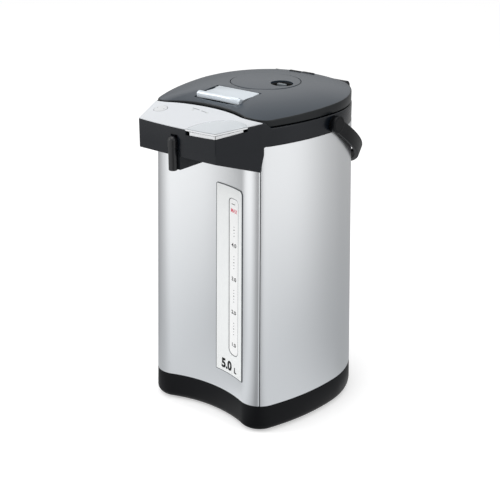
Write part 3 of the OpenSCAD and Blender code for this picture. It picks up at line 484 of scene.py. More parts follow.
def sheet(name, line, thickness, roll, low, high, rows=8):
    """A sheet that stands on a plan line: line gives a place for any offset, and the way to its ends."""
    faces, points = [], []
    n = len(line)
    for j in range(rows + 1):
        z = low + (high - low) * j / rows
        k = taper(z)
        for place, from_edge in line:
            x, y = place(-edge_roll(from_edge, roll))
            points.append((x * k, y * k, z))
        for place, from_edge in line:
            x, y = place(-thickness)
            points.append((x * k, y * k, z))
    ring = 2 * n
    loop = list(range(n)) + list(range(2 * n - 1, n - 1, -1))
    for j in range(rows):
        for i in range(ring):
            a, b = loop[i], loop[(i + 1) % ring]
            faces.append((j * ring + a, j * ring + b, (j + 1) * ring + b, (j + 1) * ring + a))
    for i in range(n - 1):
        faces.append((i, n + i, n + i + 1, i + 1))
        top = rows * ring
        faces.append((top + i, top + i + 1, top + n + i + 1, top + n + i))
    return add_mesh(name, points, faces, 35)


def on_arc(centre_x, centre_y, radius, turn, way=1):
    """A place on one arc of the plan, for any offset."""
    return lambda off: (centre_x + (radius + way * off) * cos(turn),
                        centre_y + (radius + way * off) * sin(turn))


def corner_place(turn):
    return on_arc(corner_x, corner_y, corner_r, turn)


def mirrored(line):
    """A line of places on the other half of the pot, in reverse."""
    return [((lambda off, p=p: (-p(off)[0], p(off)[1])), d) for p, d in reversed(line)]


seam_steps = (0, 0.08, 0.2, 0.4, 0.7, 1.1, 1.6, 2.4)
past_seam = 3.4 / corner_r
inland = 9
side_seam = seam_turn + seam_half
side_line = [(corner_place(side_seam + s / corner_r), s) for s in seam_steps]
side_line += [(corner_place(side_seam + past_seam + (corner_end - side_seam - past_seam) * i / 10), inland)
              for i in range(10)]
side_line += [(on_arc(side_x, 0, side_r, corner_end * (1 - i / 10)), inland) for i in range(10)]
side_line += [(on_arc(0, 0, half_w, pi / 2 * i / 40), inland) for i in range(41)]
side_shell = sheet("side_shell", side_line + mirrored(side_line[:-1]), 0.8, 0.75, body_foot, neck_z)

front_seam = seam_turn - seam_half
front_line = [(on_arc(0, hollow_y, hollow_r, pi / 2 - hollow_turn * i / 24, -1), inland) for i in range(24)]
front_line += [(corner_place(corner_start + (front_seam - past_seam - corner_start) * i / 16), inland)
               for i in range(16)]
front_line += [(corner_place(front_seam - s / corner_r), s) for s in reversed(seam_steps)]
front_line = mirrored(front_line[1:]) + front_line
front_cover = sheet("front_cover", front_line, 1.6, 1.6, body_foot, neck_z)

slot_x = 39.2
slot_half = 8.2
slot_low = 84.8
slot_high = 270


def slot_plan(grow):
    """Long slot with rounded corners, drawn on the front."""
    plan = []
    for turn, side, radius in ((0, 1, 4.5), (0.5, -1, 4.5), (1, -1, 6.5), (1.5, 1, 6.5)):
        z = slot_high - radius if turn < 1 else slot_low + radius
        x = slot_x * taper(z) + side * (slot_half - radius)
        plan += arc(x, z, radius + grow, turn * pi, (turn + 0.5) * pi, 8, True)
    return plan


def forward(x, z, y):
    """Lays a drawing that stands on the front."""
    return (x, -y, z)


cut(front_cover, prism("tool", slot_plan(0), 60, 160, forward))


def satin_steel(name, colour, roughness):
    """Lacquered satin steel, drawn as a fine level brushing without its clear coat."""
    material, start = new_material(name)
    place = start.node("TexCoord", output="Object")
    brush = start.node("TexNoise", {}, {"Vector": place * (60, 60, 9000), "Scale": 1.0, "Detail": 2.0})
    patch = start.node("TexNoise", {}, {"Vector": place, "Scale": 9.0, "Detail": 2.0})
    colour = shade(colour)
    low = tuple(c * 0.94 for c in colour)
    bump = start.node("Bump", {}, {"Height": brush, "Strength": 0.05, "Distance": 0.00003})
    close_material(start, {
        "Base Color": between(brush * 0.6 + patch * 0.4, low, colour),
        "Metallic": 1.0,
        "Roughness": brush * 0.06 + patch * 0.04 + (roughness - 0.05),
        "Normal": bump,
    })
    return material


body_steel = satin_steel("body_steel", "e9ebed", 0.3)
fit(side_shell, "pot", "body_metal", body_steel, "side_shell")
fit(front_cover, "pot", "front_metal", body_steel, "front_cover")

# ---- Gauge ----
# A pale plate is glued to the right half of the front, with a dark grey line round it that is painted shade
# of its edge. Behind its slot a white window carries the litre scale, and the glass tube stands behind that.
panel_left = 8.6
panel_right = 56
panel_low = 58
panel_high = 283
panel_corners = (0.8, 0.8, 5, 2)


def front_y(x, off):
    """Depth of the front's face at a sideways place of the plan."""
    x = abs(x)
    if x < (hollow_r - off) * sin(hollow_turn):
        return hollow_y + sqrt((hollow_r - off) ** 2 - x ** 2)
    return corner_y - sqrt((corner_r + off) ** 2 - (x - corner_x) ** 2)


def on_front(x, z, lift):
    k = taper(z)
    return (x, front_y(x / k, lift) * k, z)


def slab(name, grid, columns, rows):
    """A slab between the two grids of points that grid gives for 0, its face, and 1, its back."""
    n, m = columns + 1, rows + 1
    faces = []
    for j in range(rows):
        for i in range(columns):
            a, b = j * n + i, (m + j) * n + i
            faces += [(a, a + 1, a + n + 1, a + n), (b, b + n, b + n + 1, b + 1)]
    rim = ([i for i in range(columns)] + [j * n + columns for j in range(rows)]
           + [rows * n + i for i in range(columns, 0, -1)] + [j * n for j in range(rows, 0, -1)])
    faces += [(b, a, m * n + a, m * n + b) for a, b in zip(rim, rim[1:] + rim[:1])]
    points = [grid(back, i / columns, j / rows) for back in (0, 1) for j in range(m) for i in range(n)]
    return add_mesh(name, points, faces, 35)


def front_plate(name, left, right, low, high, lift_low, lift_high, columns=20, rows=24):
    """A plate that lies on the hollowed front, from one lift above it to another."""
    def grid(back, u, v):
        z = low + (high - low) * v
        return on_front((left + (right - left) * u) * taper(z), z, lift_low if back else lift_high)
    return slab(name, grid, columns, rows)


def plate_plan(grow=0.0):
    """The plate's outline, whose sides narrow with the body: its lower corners are almost square."""
    corners = ((panel_left, panel_low, -pi), (panel_right, panel_low, -pi / 2),
               (panel_right, panel_high, 0), (panel_left, panel_high, pi / 2))
    plan = []
    for (x, z, turn), corner in zip(corners, panel_corners):
        radius = max(0.1, corner + grow)
        inward_x = (radius - grow) * (1 if x == panel_left else -1)
        inward_z = (radius - grow) * (1 if z == panel_low else -1)
        plan += arc(x * taper(z) + inward_x, z + inward_z, radius, turn, turn + pi / 2, 8, True)
    return plan


border = 0.9
plate = front_plate("gauge_plate", panel_left, panel_right, panel_low, panel_high, 0.04, 0.84)
cut(plate, prism("tool", plate_plan(-border), 60, 160, forward), way="INTERSECT")
cut(plate, prism("tool", slot_plan(0.55), 60, 160, forward))
gauge_plate = grained("gauge_plate", "eff1f1", "f6f8f8", 2600.0, 2.0, (0.1, 0.38), (0.06, 0.00005))
fit(plate, "pot", "gauge_plate", gauge_plate, "gauge_panel")

line_grey = plastic("line_grey", "5b6064", 0.45)
# The dark grey line round the plate is painted shade along its raised edge.
edge_shade_line = front_plate("gauge_edge_shade", panel_left, panel_right, panel_low, panel_high, 0.04, 0.8)
cut(edge_shade_line, prism("tool", plate_plan(), 60, 160, forward), way="INTERSECT")
cut(edge_shade_line, prism("tool", plate_plan(-border - 0.02), 60, 160, forward))
fit(edge_shade_line, "pot", "gauge_plate", line_grey, "gauge_panel")
slot_line = front_plate("slot_border", 26, 52, slot_low - 4, slot_high + 4, 0.04, 0.8, 8, 24)
cut(slot_line, prism("tool", slot_plan(0.53), 60, 160, forward), way="INTERSECT")
cut(slot_line, prism("tool", slot_plan(0), 60, 160, forward))
fit(slot_line, "pot", "gauge_plate", line_grey, "gauge_panel")

window = front_plate("gauge_window", 26, 52, slot_low - 4, slot_high + 4, -1.1, 0.5, 8, 24)
cut(window, prism("tool", slot_plan(-0.3), 60, 160, forward), way="INTERSECT")
window_white = grained("window_white", "fafbfb", "ffffff", 30.0, 2.0, (0.06, 0.2),
                       more={"Coat Weight": 0.4, "Coat Roughness": 0.05})
fit(window, "pot", "gauge_window", window_white, "gauge_window")

ink_black = plastic("ink_black", "08080a", 0.5, 0.2)
ink_red = plastic("ink_red", "dc3f5c", 0.5, 0.2)
litre = 39.8
first_litre = 97.5


def printed(name, words, x, z, size, lift, ink, squeeze=1.0, bold=0.03):
    """Numbers printed on the front, laid on its hollow."""
    letters = bpy.data.curves.new(name, "FONT")
    letters.body = words
    letters.size = size
    letters.align_x = "CENTER"
    letters.align_y = "CENTER"
    letters.offset = size * bold
    flat = bpy.data.objects.new(name + "_flat", letters)
    bpy.context.collection.objects.link(flat)
    bpy.context.view_layer.update()
    mesh = bpy.data.meshes.new_from_object(flat.evaluated_get(bpy.context.evaluated_depsgraph_get()))
    bpy.data.objects.remove(flat)
    faces = [tuple(f.vertices) for f in mesh.polygons]
    points = [on_front(x + v.co.x * squeeze, z + v.co.y, lift) for v in mesh.vertices]
    label = add_mesh(name, points, faces)
    return fit(label, "pot", "gauge_window", ink)


scale_x = 39.3
for litres in (1, 2, 3, 4):
    z = first_litre + litre * (litres - 1)
    printed(f"scale_{litres}", f"{litres}.0", scale_x * taper(z), z, 6.2, 0.53, ink_black, 1.12, 0.028)


def dot(name, x, z, width, height, lift, ink):
    corners = [on_front(x + a * width, z + b * height, lift) for a, b in square]
    mark = add_mesh(name, corners, [(0, 1, 2, 3)])
    return fit(mark, "pot", "gauge_window", ink)


for litres in (1, 2, 3, 4):
    for step in range(-2, 3):
        z = first_litre + litre * (litres - 0.5) + 3.5 * step - (2 if litres == 4 else 0)
        tick = 0.75 if step == 0 else 0.55
        if step < 2 or litres < 4:
            dot(f"tick_{litres}_{step + 3}", scale_x * taper(z), z, tick, tick * 0.8, 0.53, ink_black)
top_z = slot_high - 13.7
printed("scale_max", "MAX", scale_x * taper(top_z), top_z, 6.4, 0.53, ink_red, 0.82, 0.02)
dot("scale_top", (scale_x - 1.5) * taper(top_z), top_z + 7.6, 3, 0.4, 0.53, ink_black)
printed("capacity", "5.0", 26.8 * taper(68), 68.2, 15.5, 0.87, ink_black, 0.93, 0.05)
printed("capacity_unit", "L", 42.6 * taper(68), 66.2, 9, 0.87, ink_black, 1.0, 0.05)


# ---- Vessel and heating ----
# The steel vessel hangs from its flange. A felt wrap and a mica band heater clasp it, and a
# bracket on three legs steadies it from below.
vessel_steel = metal("vessel_steel", "b9bcbf", 0.22, (900, 900, 60))
for node in ("vessel", "inner_lid"):
    dress(node, vessel_steel)
silicone = plastic("silicone", "d8d4cc", 0.5, depth=0.01, vary=0.04)
for node in ("neck_gasket", "gauge_cuffs", "suction_hose", "outlet_hose", "delivery_hose", "lid_gasket"):
    dress(node, silicone)

felt = grained("felt", "d3cfc3", "efece3", 900.0, 6.0, (0.1, 0.88), (0.8, 0.0006), (1, 1, 0.4), 2.0)
dress("insulation_wrap", felt)

mica, start = new_material("mica")
place = start.node("TexCoord", output="Object")
flakes = start.node("TexVoronoi", {}, {"Vector": place, "Scale": 260.0}, output="Color")
close_material(start, {
    "Base Color": between(flakes.node("SeparateColor", {}, {0: flakes}), shade("8d7648"), shade("b59c66")),
    "Roughness": 0.5,
    "Metallic": 0.2,
})
dress("band_heater", mica)

bracket_grey = metal("bracket_grey", "6d6f72", 0.4, (400, 400, 400))
dress("vessel_stand", bracket_grey)
control_black = plastic("control_black", "202226", 0.45)
dress("thermostat", control_black)

glass_clear, start = new_material("glass_clear")
place = start.node("TexCoord", output="Object")
draw = start.node("TexNoise", {}, {"Vector": place * (400, 400, 8), "Scale": 1.0})
close_material(start, {
    "Base Color": (0.9, 0.95, 0.96, 1),
    "Roughness": draw * 0.02 + 0.02,
    "Transmission Weight": 0.92,
    "IOR": 1.47,
})
dress("gauge_glass", glass_clear)

# ---- Pump and electronics ----
# A small motor drives the pump from below. Two circuit boards sit upright behind the vessel and
# flat under the control panel.
motor_can = metal("motor_can", "9a9da0", 0.3, (80, 80, 2500))
dress("pump_motor", motor_can)
pump_plastic = plastic("pump_plastic", "d9d6cf", 0.42, vary=0.05)
dress("pump_housing", pump_plastic)

circuit_green, start = new_material("circuit_green")
place = start.node("TexCoord", output="Object")
tracks = start.node("TexBrick", {}, {"Vector": place, "Scale": 120.0, "Mortar Size": 0.03}, output=1)
close_material(start, {
    "Base Color": between(tracks, shade("24583a"), shade("4d8a5c")),
    "Roughness": tracks * 0.1 + 0.32,
    "Normal": start.node("Bump", {}, {"Height": tracks, "Strength": 0.3, "Distance": 0.0001}),
})
for node in ("control_board", "panel_board"):
    dress(node, circuit_green)

# ---- Neck ring ----
# A black moulding that sits on the body and carries the lid's hinge ears, the collar round the
# vessel's mouth, and the bosses on which the handle turns.
ring_share = 0.92692
ring_top = 354.1
deck_z = ring_top - 9
hinge_y = 86
hinge_z = 360.9
hinge_r = 6.4
ear_in = 38
ear_out = 52
pivot_y = -4
pivot_z = 343.2

beak_half = 53.4
beak_y = -150
beak_bow = 3.33
beak_back_y = -97.5
to_corner = Vector((corner_x * ring_share - beak_half, corner_y * ring_share - beak_y))
flank_turn = atan2(to_corner.x, to_corner.y) + asin(corner_r * ring_share / to_corner.length)
flank_length = sqrt(to_corner.length ** 2 - (corner_r * ring_share) ** 2)
flank_end = (beak_half + flank_length * sin(flank_turn), beak_y + flank_length * cos(flank_turn))


def flank_x(y):
    return beak_half + (y - beak_y) * tan(flank_turn)


ring_rings = [level(z, off, ring_share) for z, off in (
    (neck_z + 0.1, -0.5), (neck_z + 0.25, -0.15), (neck_z + 0.6, 0), (ring_top - 1.4, 0),
    (ring_top - 1.0, -0.08), (ring_top - 0.5, -0.38), (ring_top - 0.15, -0.8), (ring_top, -1.4),
    (ring_top, -2.4), (deck_z + 2.4, -2.4), (deck_z, -2.4), (neck_z + 0.1, -2.4))]
ring_black = plastic("ring_black", "0b1017", 0.26, 0.28, depth=0.012)
boss_black = plastic("boss_black", "050506", 0.6, 0.05)
ring_wall = loft("ring_wall", ring_rings)
fit(ring_wall, "pot", "ring_black", ring_black, "neck_ring")

mouth_r = 80


def round_ring(radius, z, sides=96, centre=(0, 0)):
    return [(x, y, z) for x, y in arc(centre[0], centre[1], radius, 0, 2 * pi, sides)]


plan_turns = [atan2(y, x) for x, y in outline(-1)]
deck_outer = [level(z, -1, ring_share) for z in (deck_z, deck_z + 2.4)]
deck_inner = [[((mouth_r + 1) * cos(t), (mouth_r + 1) * sin(t), z) for t in plan_turns]
              for z in (deck_z, deck_z + 2.4)]
deck = loft("ring_deck", [deck_outer[0], deck_outer[1], deck_inner[1], deck_inner[0]])
fit(deck, "pot", "ring_black", ring_black, "neck_ring")


def lathe(name, profile, sides=96, centre=(0, 0), smooth=35, closed=True):
    """A turned piece from points (radius, height)."""
    return loft(name, [round_ring(r, z, sides, centre) for r, z in profile], smooth, closed)


collar_z = 339
collar = lathe("ring_collar", [(mouth_r + 2.4, collar_z), (mouth_r + 2.4, ring_top - 1.6),
                               (mouth_r + 1.8, ring_top - 1), (mouth_r + 0.6, ring_top - 1),
                               (mouth_r, ring_top - 1.6), (mouth_r, collar_z)])
fit(collar, "pot", "ring_black", ring_black, "neck_ring")


def lay_x(x, y, z):
    """Lays a drawing in y and z across the pot, with its height along x."""
    return (z, x, y)


def turned_x(name, profile, y, z, sides=64):
    """A turned piece on an axis across the pot, from points (radius, place along x)."""
    rings = [[(along, y + r * cos(t), z + r * sin(t)) for t in [2 * pi * i / sides for i in range(sides)]]
             for r, along in profile]
    return loft(name, rings, 35, False, (True, True))


ring_side = half_w * ring_share
for side in (1, -1):
    name = "right" if side > 0 else "left"
    boss = turned_x(f"handle_boss_{name}", [(r, side * along) for r, along in (
        (8.6, ring_side - 2.4), (8.6, 98.2), (8.2, 98.9), (7.6, 99.1), (4.05, 99.1), (4.05, 102.8))],
                    pivot_y, pivot_z)
    fit(boss, "pot", "ring_black", boss_black, "neck_ring")
    ear_plan = ([(hinge_y - hinge_r, deck_z)] + arc(hinge_y, hinge_z, hinge_r, pi, 0, 20, True)
                + [(hinge_y + hinge_r, deck_z)])
    ear = prism(f"hinge_ear_{name}", ear_plan, side * ear_in, side * ear_out, lay_x)
    soften(ear, 0.6, 50)
    fit(ear, "pot", "ring_black", ring_black, "neck_ring")

# ---- Beak ----
# The hood stands out over the front on the same level as the lid. Its top falls from the lid to
# the front edge and carries the control panel, and its corner is cut away for the button.
lid_share = 0.92321
rim_z = 361.8
front_top = 354.6
wall = 2.4


def crown(x):
    """Height added to the lid's front edge, none at its corners."""
    return 4.4 * (1 - min(1, abs(x) / 76) ** 3)


def panel_crown(x):
    """The same for the beak's top, which lies lower, so that the lid's rim stands over it."""
    share = min(1, abs(x) / 76)
    return 2.8 - 2.8 * share ** 5 - 1.3 * share ** 12


def lid_front_y(x, off):
    """Depth of the lid opening's front edge at a sideways place."""
    x = abs(x) / lid_share
    if x < (hollow_r - off) * sin(hollow_turn):
        return lid_share * (hollow_y + sqrt((hollow_r - off) ** 2 - x ** 2))
    return lid_share * (corner_y - sqrt(max(0, (corner_r + off) ** 2 - (x - corner_x) ** 2)))


back_x = flank_x(beak_back_y)


def beak_top(x, y):
    """Height of the beak's top at a place of its plan."""
    u = x / 65
    for _ in range(12):
        front = beak_y - beak_bow * (1 - u * u)
        rear = lid_front_y(min(abs(u), 1.04) * back_x, 0.8)
        v = (y - front) / (rear - front)
        u = x / (beak_half + (back_x - beak_half) * v)
    return front_top + v * (rim_z - 0.6 + panel_crown(u * back_x) - front_top)


def rounded_corner(before, corner, after, radius, steps=8):
    """Points of a round corner between two straight edges."""
    a = (Vector(before) - Vector(corner)).normalized()
    b = (Vector(after) - Vector(corner)).normalized()
    half = a.angle(b) / 2
    reach = radius / tan(half)
    centre = Vector(corner) + (a + b).normalized() * radius / sin(half)
    first = Vector(corner) + a * reach - centre
    last = Vector(corner) + b * reach - centre
    return [tuple(centre + first.slerp(last, i / steps) * radius) for i in range(steps + 1)]


def beak_edge(inset, radius=1.2):
    """Plan of the beak from its left rear corner round the front to its right rear corner."""
    def front_point(u):
        return (u * (flank_x(beak_y + inset) - inset / cos(flank_turn)),
                beak_y - beak_bow * (1 - u * u) + inset)
    def flank_point(s):
        y = flank_end[1] + (beak_y + inset - flank_end[1]) * s
        return (flank_x(y) - inset / cos(flank_turn), y)
    corner = rounded_corner(front_point(0.8), front_point(1), flank_point(0.8), radius)
    right = ([front_point(u / 12) for u in range(0, 12)] + corner
             + [flank_point(1 - s / 10) for s in range(1, 11)])
    return [(-x, y) for x, y in right[:0:-1]] + right


def wall_top(x, y, drop):
    """Height of the beak's side wall: it comes down to the ring behind the lid's corner."""
    top = beak_top(x, min(y, beak_back_y))
    if y > beak_back_y:
        s = min(1, (y - beak_back_y) / (flank_end[1] - beak_back_y))
        top = top + (ring_top - top) * s * s * (3 - 2 * s)
    return top - drop


def beak_ring(inset, drop):
    return [(x, y, wall_top(x, y, drop)) for x, y in beak_edge(inset)]


def strip_wall(name, lines):
    """A wall that runs along a line and is open at both ends; its section closes on itself."""
    n, m = len(lines[0]), len(lines)
    faces = []
    for j in range(m):
        k = (j + 1) % m
        faces += [(j * n + i, j * n + i + 1, k * n + i + 1, k * n + i) for i in range(n - 1)]
    faces.append(tuple(j * n for j in range(m)))
    faces.append(tuple(j * n + n - 1 for j in range(m - 1, -1, -1)))
    return add_mesh(name, [p for line in lines for p in line], faces, 35)


def hood_foot(inset, lift):
    """The hood's lower edge, which laps over the moulding below it in front of the body."""
    return [(x, y, hood_low + lift - 2 * max(0, min(1, (-99 - y) / 3))) for x, y in beak_edge(inset)]


hood_low = neck_z + 0.1
hood = strip_wall("hood", [
    hood_foot(0.15, 0), hood_foot(-0.12, 0.25), beak_ring(-0.12, 0.4), beak_ring(0, 0.12),
    beak_ring(0.25, 0), beak_ring(wall, 0), [(x, y, hood_low) for x, y in beak_edge(wall)]])

button_x = 59.4
button_y = -159.7
button_r = 43.6


def button_floor(y):
    """Height of the button's lower edge: it climbs along the beak's flank."""
    return front_top - 5.1 + 0.135 * (y - beak_y)


def sloped_tool(plan, low, high):
    """A block over a plan whose foot climbs with the button's lower edge."""
    n = len(plan)
    tool = prism("tool", plan, 0, high)
    for vertex, (x, y) in zip(tool.data.vertices[:n], plan):
        vertex.co.z = (button_floor(y) + low) * MM
    return tool


def corner_plan(inset, radius, steps=32):
    """The part of the beak's plan inside a circle round the button: its own edge, then an arc."""
    middle = Vector((button_x, button_y))
    line = [Vector(p) for p in beak_edge(inset, 0.5)]
    inside = []
    for a, b in zip(line, line[1:]):
        ends = [(p - middle).length < radius for p in (a, b)]
        if ends[0]:
            inside.append(tuple(a))
        if ends[0] != ends[1]:
            low, high = (a, b) if ends[0] else (b, a)
            for _ in range(24):
                half = (low + high) / 2
                low, high = (half, high) if (half - middle).length < radius else (low, half)
            inside.append(tuple(low))
    first, last = [atan2(y - button_y, x - button_x) for x, y in (inside[-1], inside[0])]
    return inside + arc(button_x, button_y, radius, first, last + 2 * pi * (last < first), steps)[1:]


def drawn_in(plan, inset):
    """The plan with each point moved towards its middle."""
    middle = sum((Vector(p) for p in plan), Vector((0, 0))) / len(plan)
    return [tuple(Vector(p) + (middle - Vector(p)).normalized() * inset) for p in plan]


pocket = sloped_tool(arc(button_x, button_y, button_r + 0.5, 0, 2 * pi, 160), 0, 400)
spout_y = beak_y - 6.1
spout_r = 5.2
cut(hood, pocket, sloped_tool(corner_plan(0.45, button_r + 0.5), -3.4, 400),
    drum_tool(0, spout_y, spout_r + 0.2, hood_low - 3, hood_low + 12.6))
fit(hood, "pot", "ring_black", ring_black, "hood")


def across(u, v, lift):
    """A point of the beak's top: u goes from side to side, v from the front to the lid."""
    front = Vector((u * beak_half, beak_y - beak_bow * (1 - u * u), front_top))
    rear = Vector((u * back_x, lid_front_y(u * back_x, 0.8), rim_z - 0.6 + panel_crown(u * back_x)))
    p = front + (rear - front) * v
    return (p.x, p.y, p.z + lift)


def beak_slab(name, side_inset, front_inset, rear_inset, low, high, columns=48, rows=16):
    """A slab that follows the beak's top between two lifts."""
    def grid(back, u, v):
        return across((2 * u - 1) * (1 - side_inset), front_inset + (1 - front_inset - rear_inset) * v,
                      low if back else high)
    return slab(name, grid, columns, rows)


hood_top = beak_slab("hood_top", 0.02, 0.02, 0.05, -wall, -0.02)
key_x = -46.5
key_y = -123.3
key_r = 7.4
lamp_x = (-11.5, 8.3)
lamp_y = -110.4
cut(hood_top, drum_tool(button_x, button_y, button_r + 0.9, 300, 400, 160),
    drum_tool(key_x, key_y, key_r + 1, 300, 400))
fit(hood_top, "pot", "ring_black", ring_black, "hood")

def bolt_hole(low=357, high=360):
    """Room for the latch bolt, which slides through three walls."""
    return box_tool((-8.3, -120, low), (8.3, -80, high))


hood_rear = strip_wall("hood_rear", [
    [(x, lid_front_y(x, off), z(x)) for x in [back_x * (i / 24 - 1) * 0.97 for i in range(49)]]
    for off, z in ((0.8, lambda x: hood_low), (0.8, lambda x: rim_z - 3 + panel_crown(x)),
                   (4, lambda x: rim_z - 3.2 + panel_crown(x)), (4, lambda x: hood_low))])
cut(hood_rear, bolt_hole())
fit(hood_rear, "pot", "ring_black", ring_black, "hood")

# A black wall round the button's pocket keeps light out of the beak
pocket_wall = strip_wall("button_pocket", [
    [(x, y, low or beak_top(x, y) - 2.4) for x, y in corner_plan(2.6, button_r + grow)[-31:]]
    for grow, low in ((1.6, 350.2), (1.6, None), (1, None), (1, 350.2))])
tray_black = plastic("tray_black", "0c0d0f", 0.5, 0.15)
fit(pocket_wall, "pot", "ring_black", tray_black, "hood")

dress("hood_fairing", ring_black)
# The nozzle block's black is lighter than the hood's: painted light against the shade under the beak.
nozzle_black = plastic("nozzle_black", "1c1f23", 0.42, 0.25)
dress("nozzle_block", nozzle_black)

spout_black = plastic("spout_black", "101216", 0.3, 0.45)
spout_low = 309.2
spout_high = 346.0
spout_profile = [(3.2, spout_low + 24), (3.2, spout_low + 0.3), (3.5, spout_low), (4.3, spout_low),
                 (4.7, spout_low + 0.5), (4.7, neck_z - 0.8), (spout_r, neck_z - 0.1)]
spout_profile += arc(0, spout_high - spout_r, spout_r, 0, pi / 2, 16) + [(0.02, spout_high)]
spout = lathe("spout_tube", spout_profile, 64, (0, spout_y), 35, False)
fit(spout, "pot", "spout_black", spout_black, "spout_tube")

# ---- Controls ----
# A pale panel lies on the beak with a round key and two small lamps. The dispense button wraps the
# beak's right front corner: a clear silver-backed lens over a white skirt.
panel = beak_slab("control_panel", 0.01, 0.0045, 0.055, 0.0, 1.0, 64, 24)
cut(panel, drum_tool(button_x, button_y, button_r + 0.7, 300, 400, 160),
    drum_tool(key_x, key_y, key_r + 0.5, 300, 400),
    *[drum_tool(x, lamp_y, 1.65, 300, 400, 32) for x in lamp_x])
panel_white = grained("panel_white", "d5d8dc", "dfe2e6", 1900.0, 2.0, (0.1, 0.36), (0.05, 0.00005))
fit(panel, "pot", "panel_white", panel_white, "control_panel")


def dished(name, x, y, radius, low, high, sides=64, rings=8):
    """A round cap that follows the beak's top, with a rounded edge."""
    steps = [(radius, low), (radius, high - 0.5), (radius - 0.15, high - 0.18), (radius - 0.5, high)]
    steps += [(radius * (1 - i / rings), high) for i in range(1, rings)]
    lines = [[(a, b, beak_top(a, b) + lift) for a, b in arc(x, y, r, 0, 2 * pi, sides)] for r, lift in steps]
    return loft(name, lines, 40, False, (True, True))


key_white = plastic("key_white", "d9dbdd", 0.38, vary=0.02)
key = dished("round_key", key_x, key_y, key_r, -1.4, 1.4)
fit(key, "round_key", "key_white", key_white, "round_key")

lamp_lens = plastic("lamp_lens", "d3d7d6", 0.25, coat=0.3, vary=0.03)
for i, x in enumerate(lamp_x):
    lamp = dished(f"lamp_{i + 1}", x, lamp_y, 1.6, -2, 1.15, 32, 3)
    fit(lamp, "pot", "lamp_lens", lamp_lens, "lamps")
grey_print = plastic("grey_print", "8d9093", 0.5)


def panel_mark(name, x, y, width, depth, lean, lift=1.03):
    """A thin printed bar on the beak's panel."""
    corners = [(x + a * width, y + b * depth + a * lean) for a, b in square]
    mark = add_mesh(name, [(a, b, beak_top(a, b) + lift) for a, b in corners], [(0, 1, 2, 3)])
    return fit(mark, "pot", "panel_white", grey_print)


for i, (x, y, lean) in enumerate(((-10, 3.4, -0.5), (4.2, 0.9, -1))):
    panel_mark(f"lamp_mark_{i + 1}", x, lamp_y + y, 5.4, 0.6, lean)
corners = [(key_x + 5 * a, key_y + 0.9 * b) for a, b in square]
key_mark = add_mesh("key_mark", [(x, y, beak_top(x, y) + 1.43) for x, y in corners], [(0, 1, 2, 3)])
fit(key_mark, "round_key", "key_white", grey_print)


button_silver = grained("button_silver", "c3c9ce", "d2d7db", 2400.0, 2.0, (0.08, 0.22),
                        more={"Metallic": 0.2, "Coat Weight": 0.6, "Coat Roughness": 0.05})
lens_plan = corner_plan(-0.5, button_r - 0.1)
lens_rings = [[(x, y, beak_top(x, y) + lift) for x, y in drawn_in(lens_plan, inset)]
              for inset, lift in ((0.3, 0.9), (0, 1.1), (0, 1.5), (0.12, 1.7), (0.4, 1.8))]
middle = sum((Vector(p) for p in lens_plan), Vector((0, 0))) / len(lens_plan)
for share in (0.8, 0.6, 0.4, 0.2):
    smaller = [middle + (Vector(p) - middle) * share for p in lens_plan]
    lens_rings.append([(q.x, q.y, beak_top(q.x, q.y) + 1.8) for q in smaller])
lens = loft("button_lens", lens_rings, 30, False, (True, True))
fit(lens, "dispense_button", "button_silver", button_silver, "dispense_button")


def button_band(name, inset, radius, low, high, thick, finish):
    """A band round the button's plan between two lifts over the beak's top; low None is its foot."""
    plan = corner_plan(inset, radius)
    inner = drawn_in(plan, thick)
    def line(points, lift):
        return [(x, y, button_floor(y) + 0.15 if lift is None else beak_top(x, y) + lift)
                for x, y in points]
    band = loft(name, [line(plan, low), line(plan, high), line(inner, high), line(inner, low)], 30)
    return fit(band, "dispense_button", "button_silver", finish, "dispense_button")


button_white = plastic("button_white", "eef0f2", 0.3, vary=0.02)
button_band("button_rim", -0.7, button_r, -0.6, 1.1, 1.3, button_white)
button_band("button_line", -0.58, button_r - 0.05, 1.1, 1.4, 1.3, line_grey)
button_band("button_shadow_gap", 0.6, button_r - 2, -1.7, -0.5, 1.3, tray_black)
button_band("button_skirt", 0.6, button_r - 4, None, -1.4, 1.3, button_white)


def corner_joint(name, out, depth, low, high):
    """The dark joint where the button's two sides meet at the beak's corner."""
    tip = Vector((flank_x(beak_y), beak_y))
    way = Vector((cos(flank_turn), -sin(flank_turn) - 1)).normalized()
    side = Vector((-way.y, way.x)) * 0.28
    plan = [tuple(tip + way * a + side * b) for a, b in ((-depth, -1), (out, -1), (out, 1), (-depth, 1))]
    joint = prism(name, plan, low, high)
    return fit(joint, "dispense_button", "button_silver", tray_black, "dispense_button")


corner_joint("rim_joint", 0.62, 1, front_top - 0.6, front_top + 1.2)
corner_joint("skirt_joint", -0.72, 1.7, front_top - 4.9, front_top - 1.4)


spring_steel = metal("spring_steel", "b4b7ba", 0.2, (900, 900, 900))


def coil(name, x, y, radius, wire, low, high, turns=4, steps=24):
    """Round wire wound into a spring between two heights."""
    rings = []
    for i in range(turns * steps + 1):
        turn = 2 * pi * i / steps
        z = low + wire + (high - low - 2 * wire) * i / (turns * steps)
        rings.append([(x + (radius + q) * cos(turn), y + (radius + q) * sin(turn), z + h)
                      for q, h in arc(0, 0, wire, 0, 2 * pi, 10)])
    return loft(name, rings, 60, False, (True, True))


# The button's return spring stands on the panel's board and carries a plunger
spring_x = 46.3
spring_y = -140
spring_foot = 346.7
plunger_z = 352.3
plunger = lathe("button_plunger", [
    (0.02, plunger_z), (4.6, plunger_z), (5, plunger_z + 0.4), (5, 354), (3.6, 354.6), (3.6, 356.2),
    (0.02, 356.2)], 48, (spring_x, spring_y), 35, False)
fit(plunger, "dispense_button", "button_silver", key_white, "dispense_button")
button_spring = coil("button_spring", spring_x, spring_y, 4.2, 0.4, spring_foot, plunger_z)
fit(button_spring, "pot", "spring_steel", spring_steel, "button_spring")
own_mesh(button_spring)
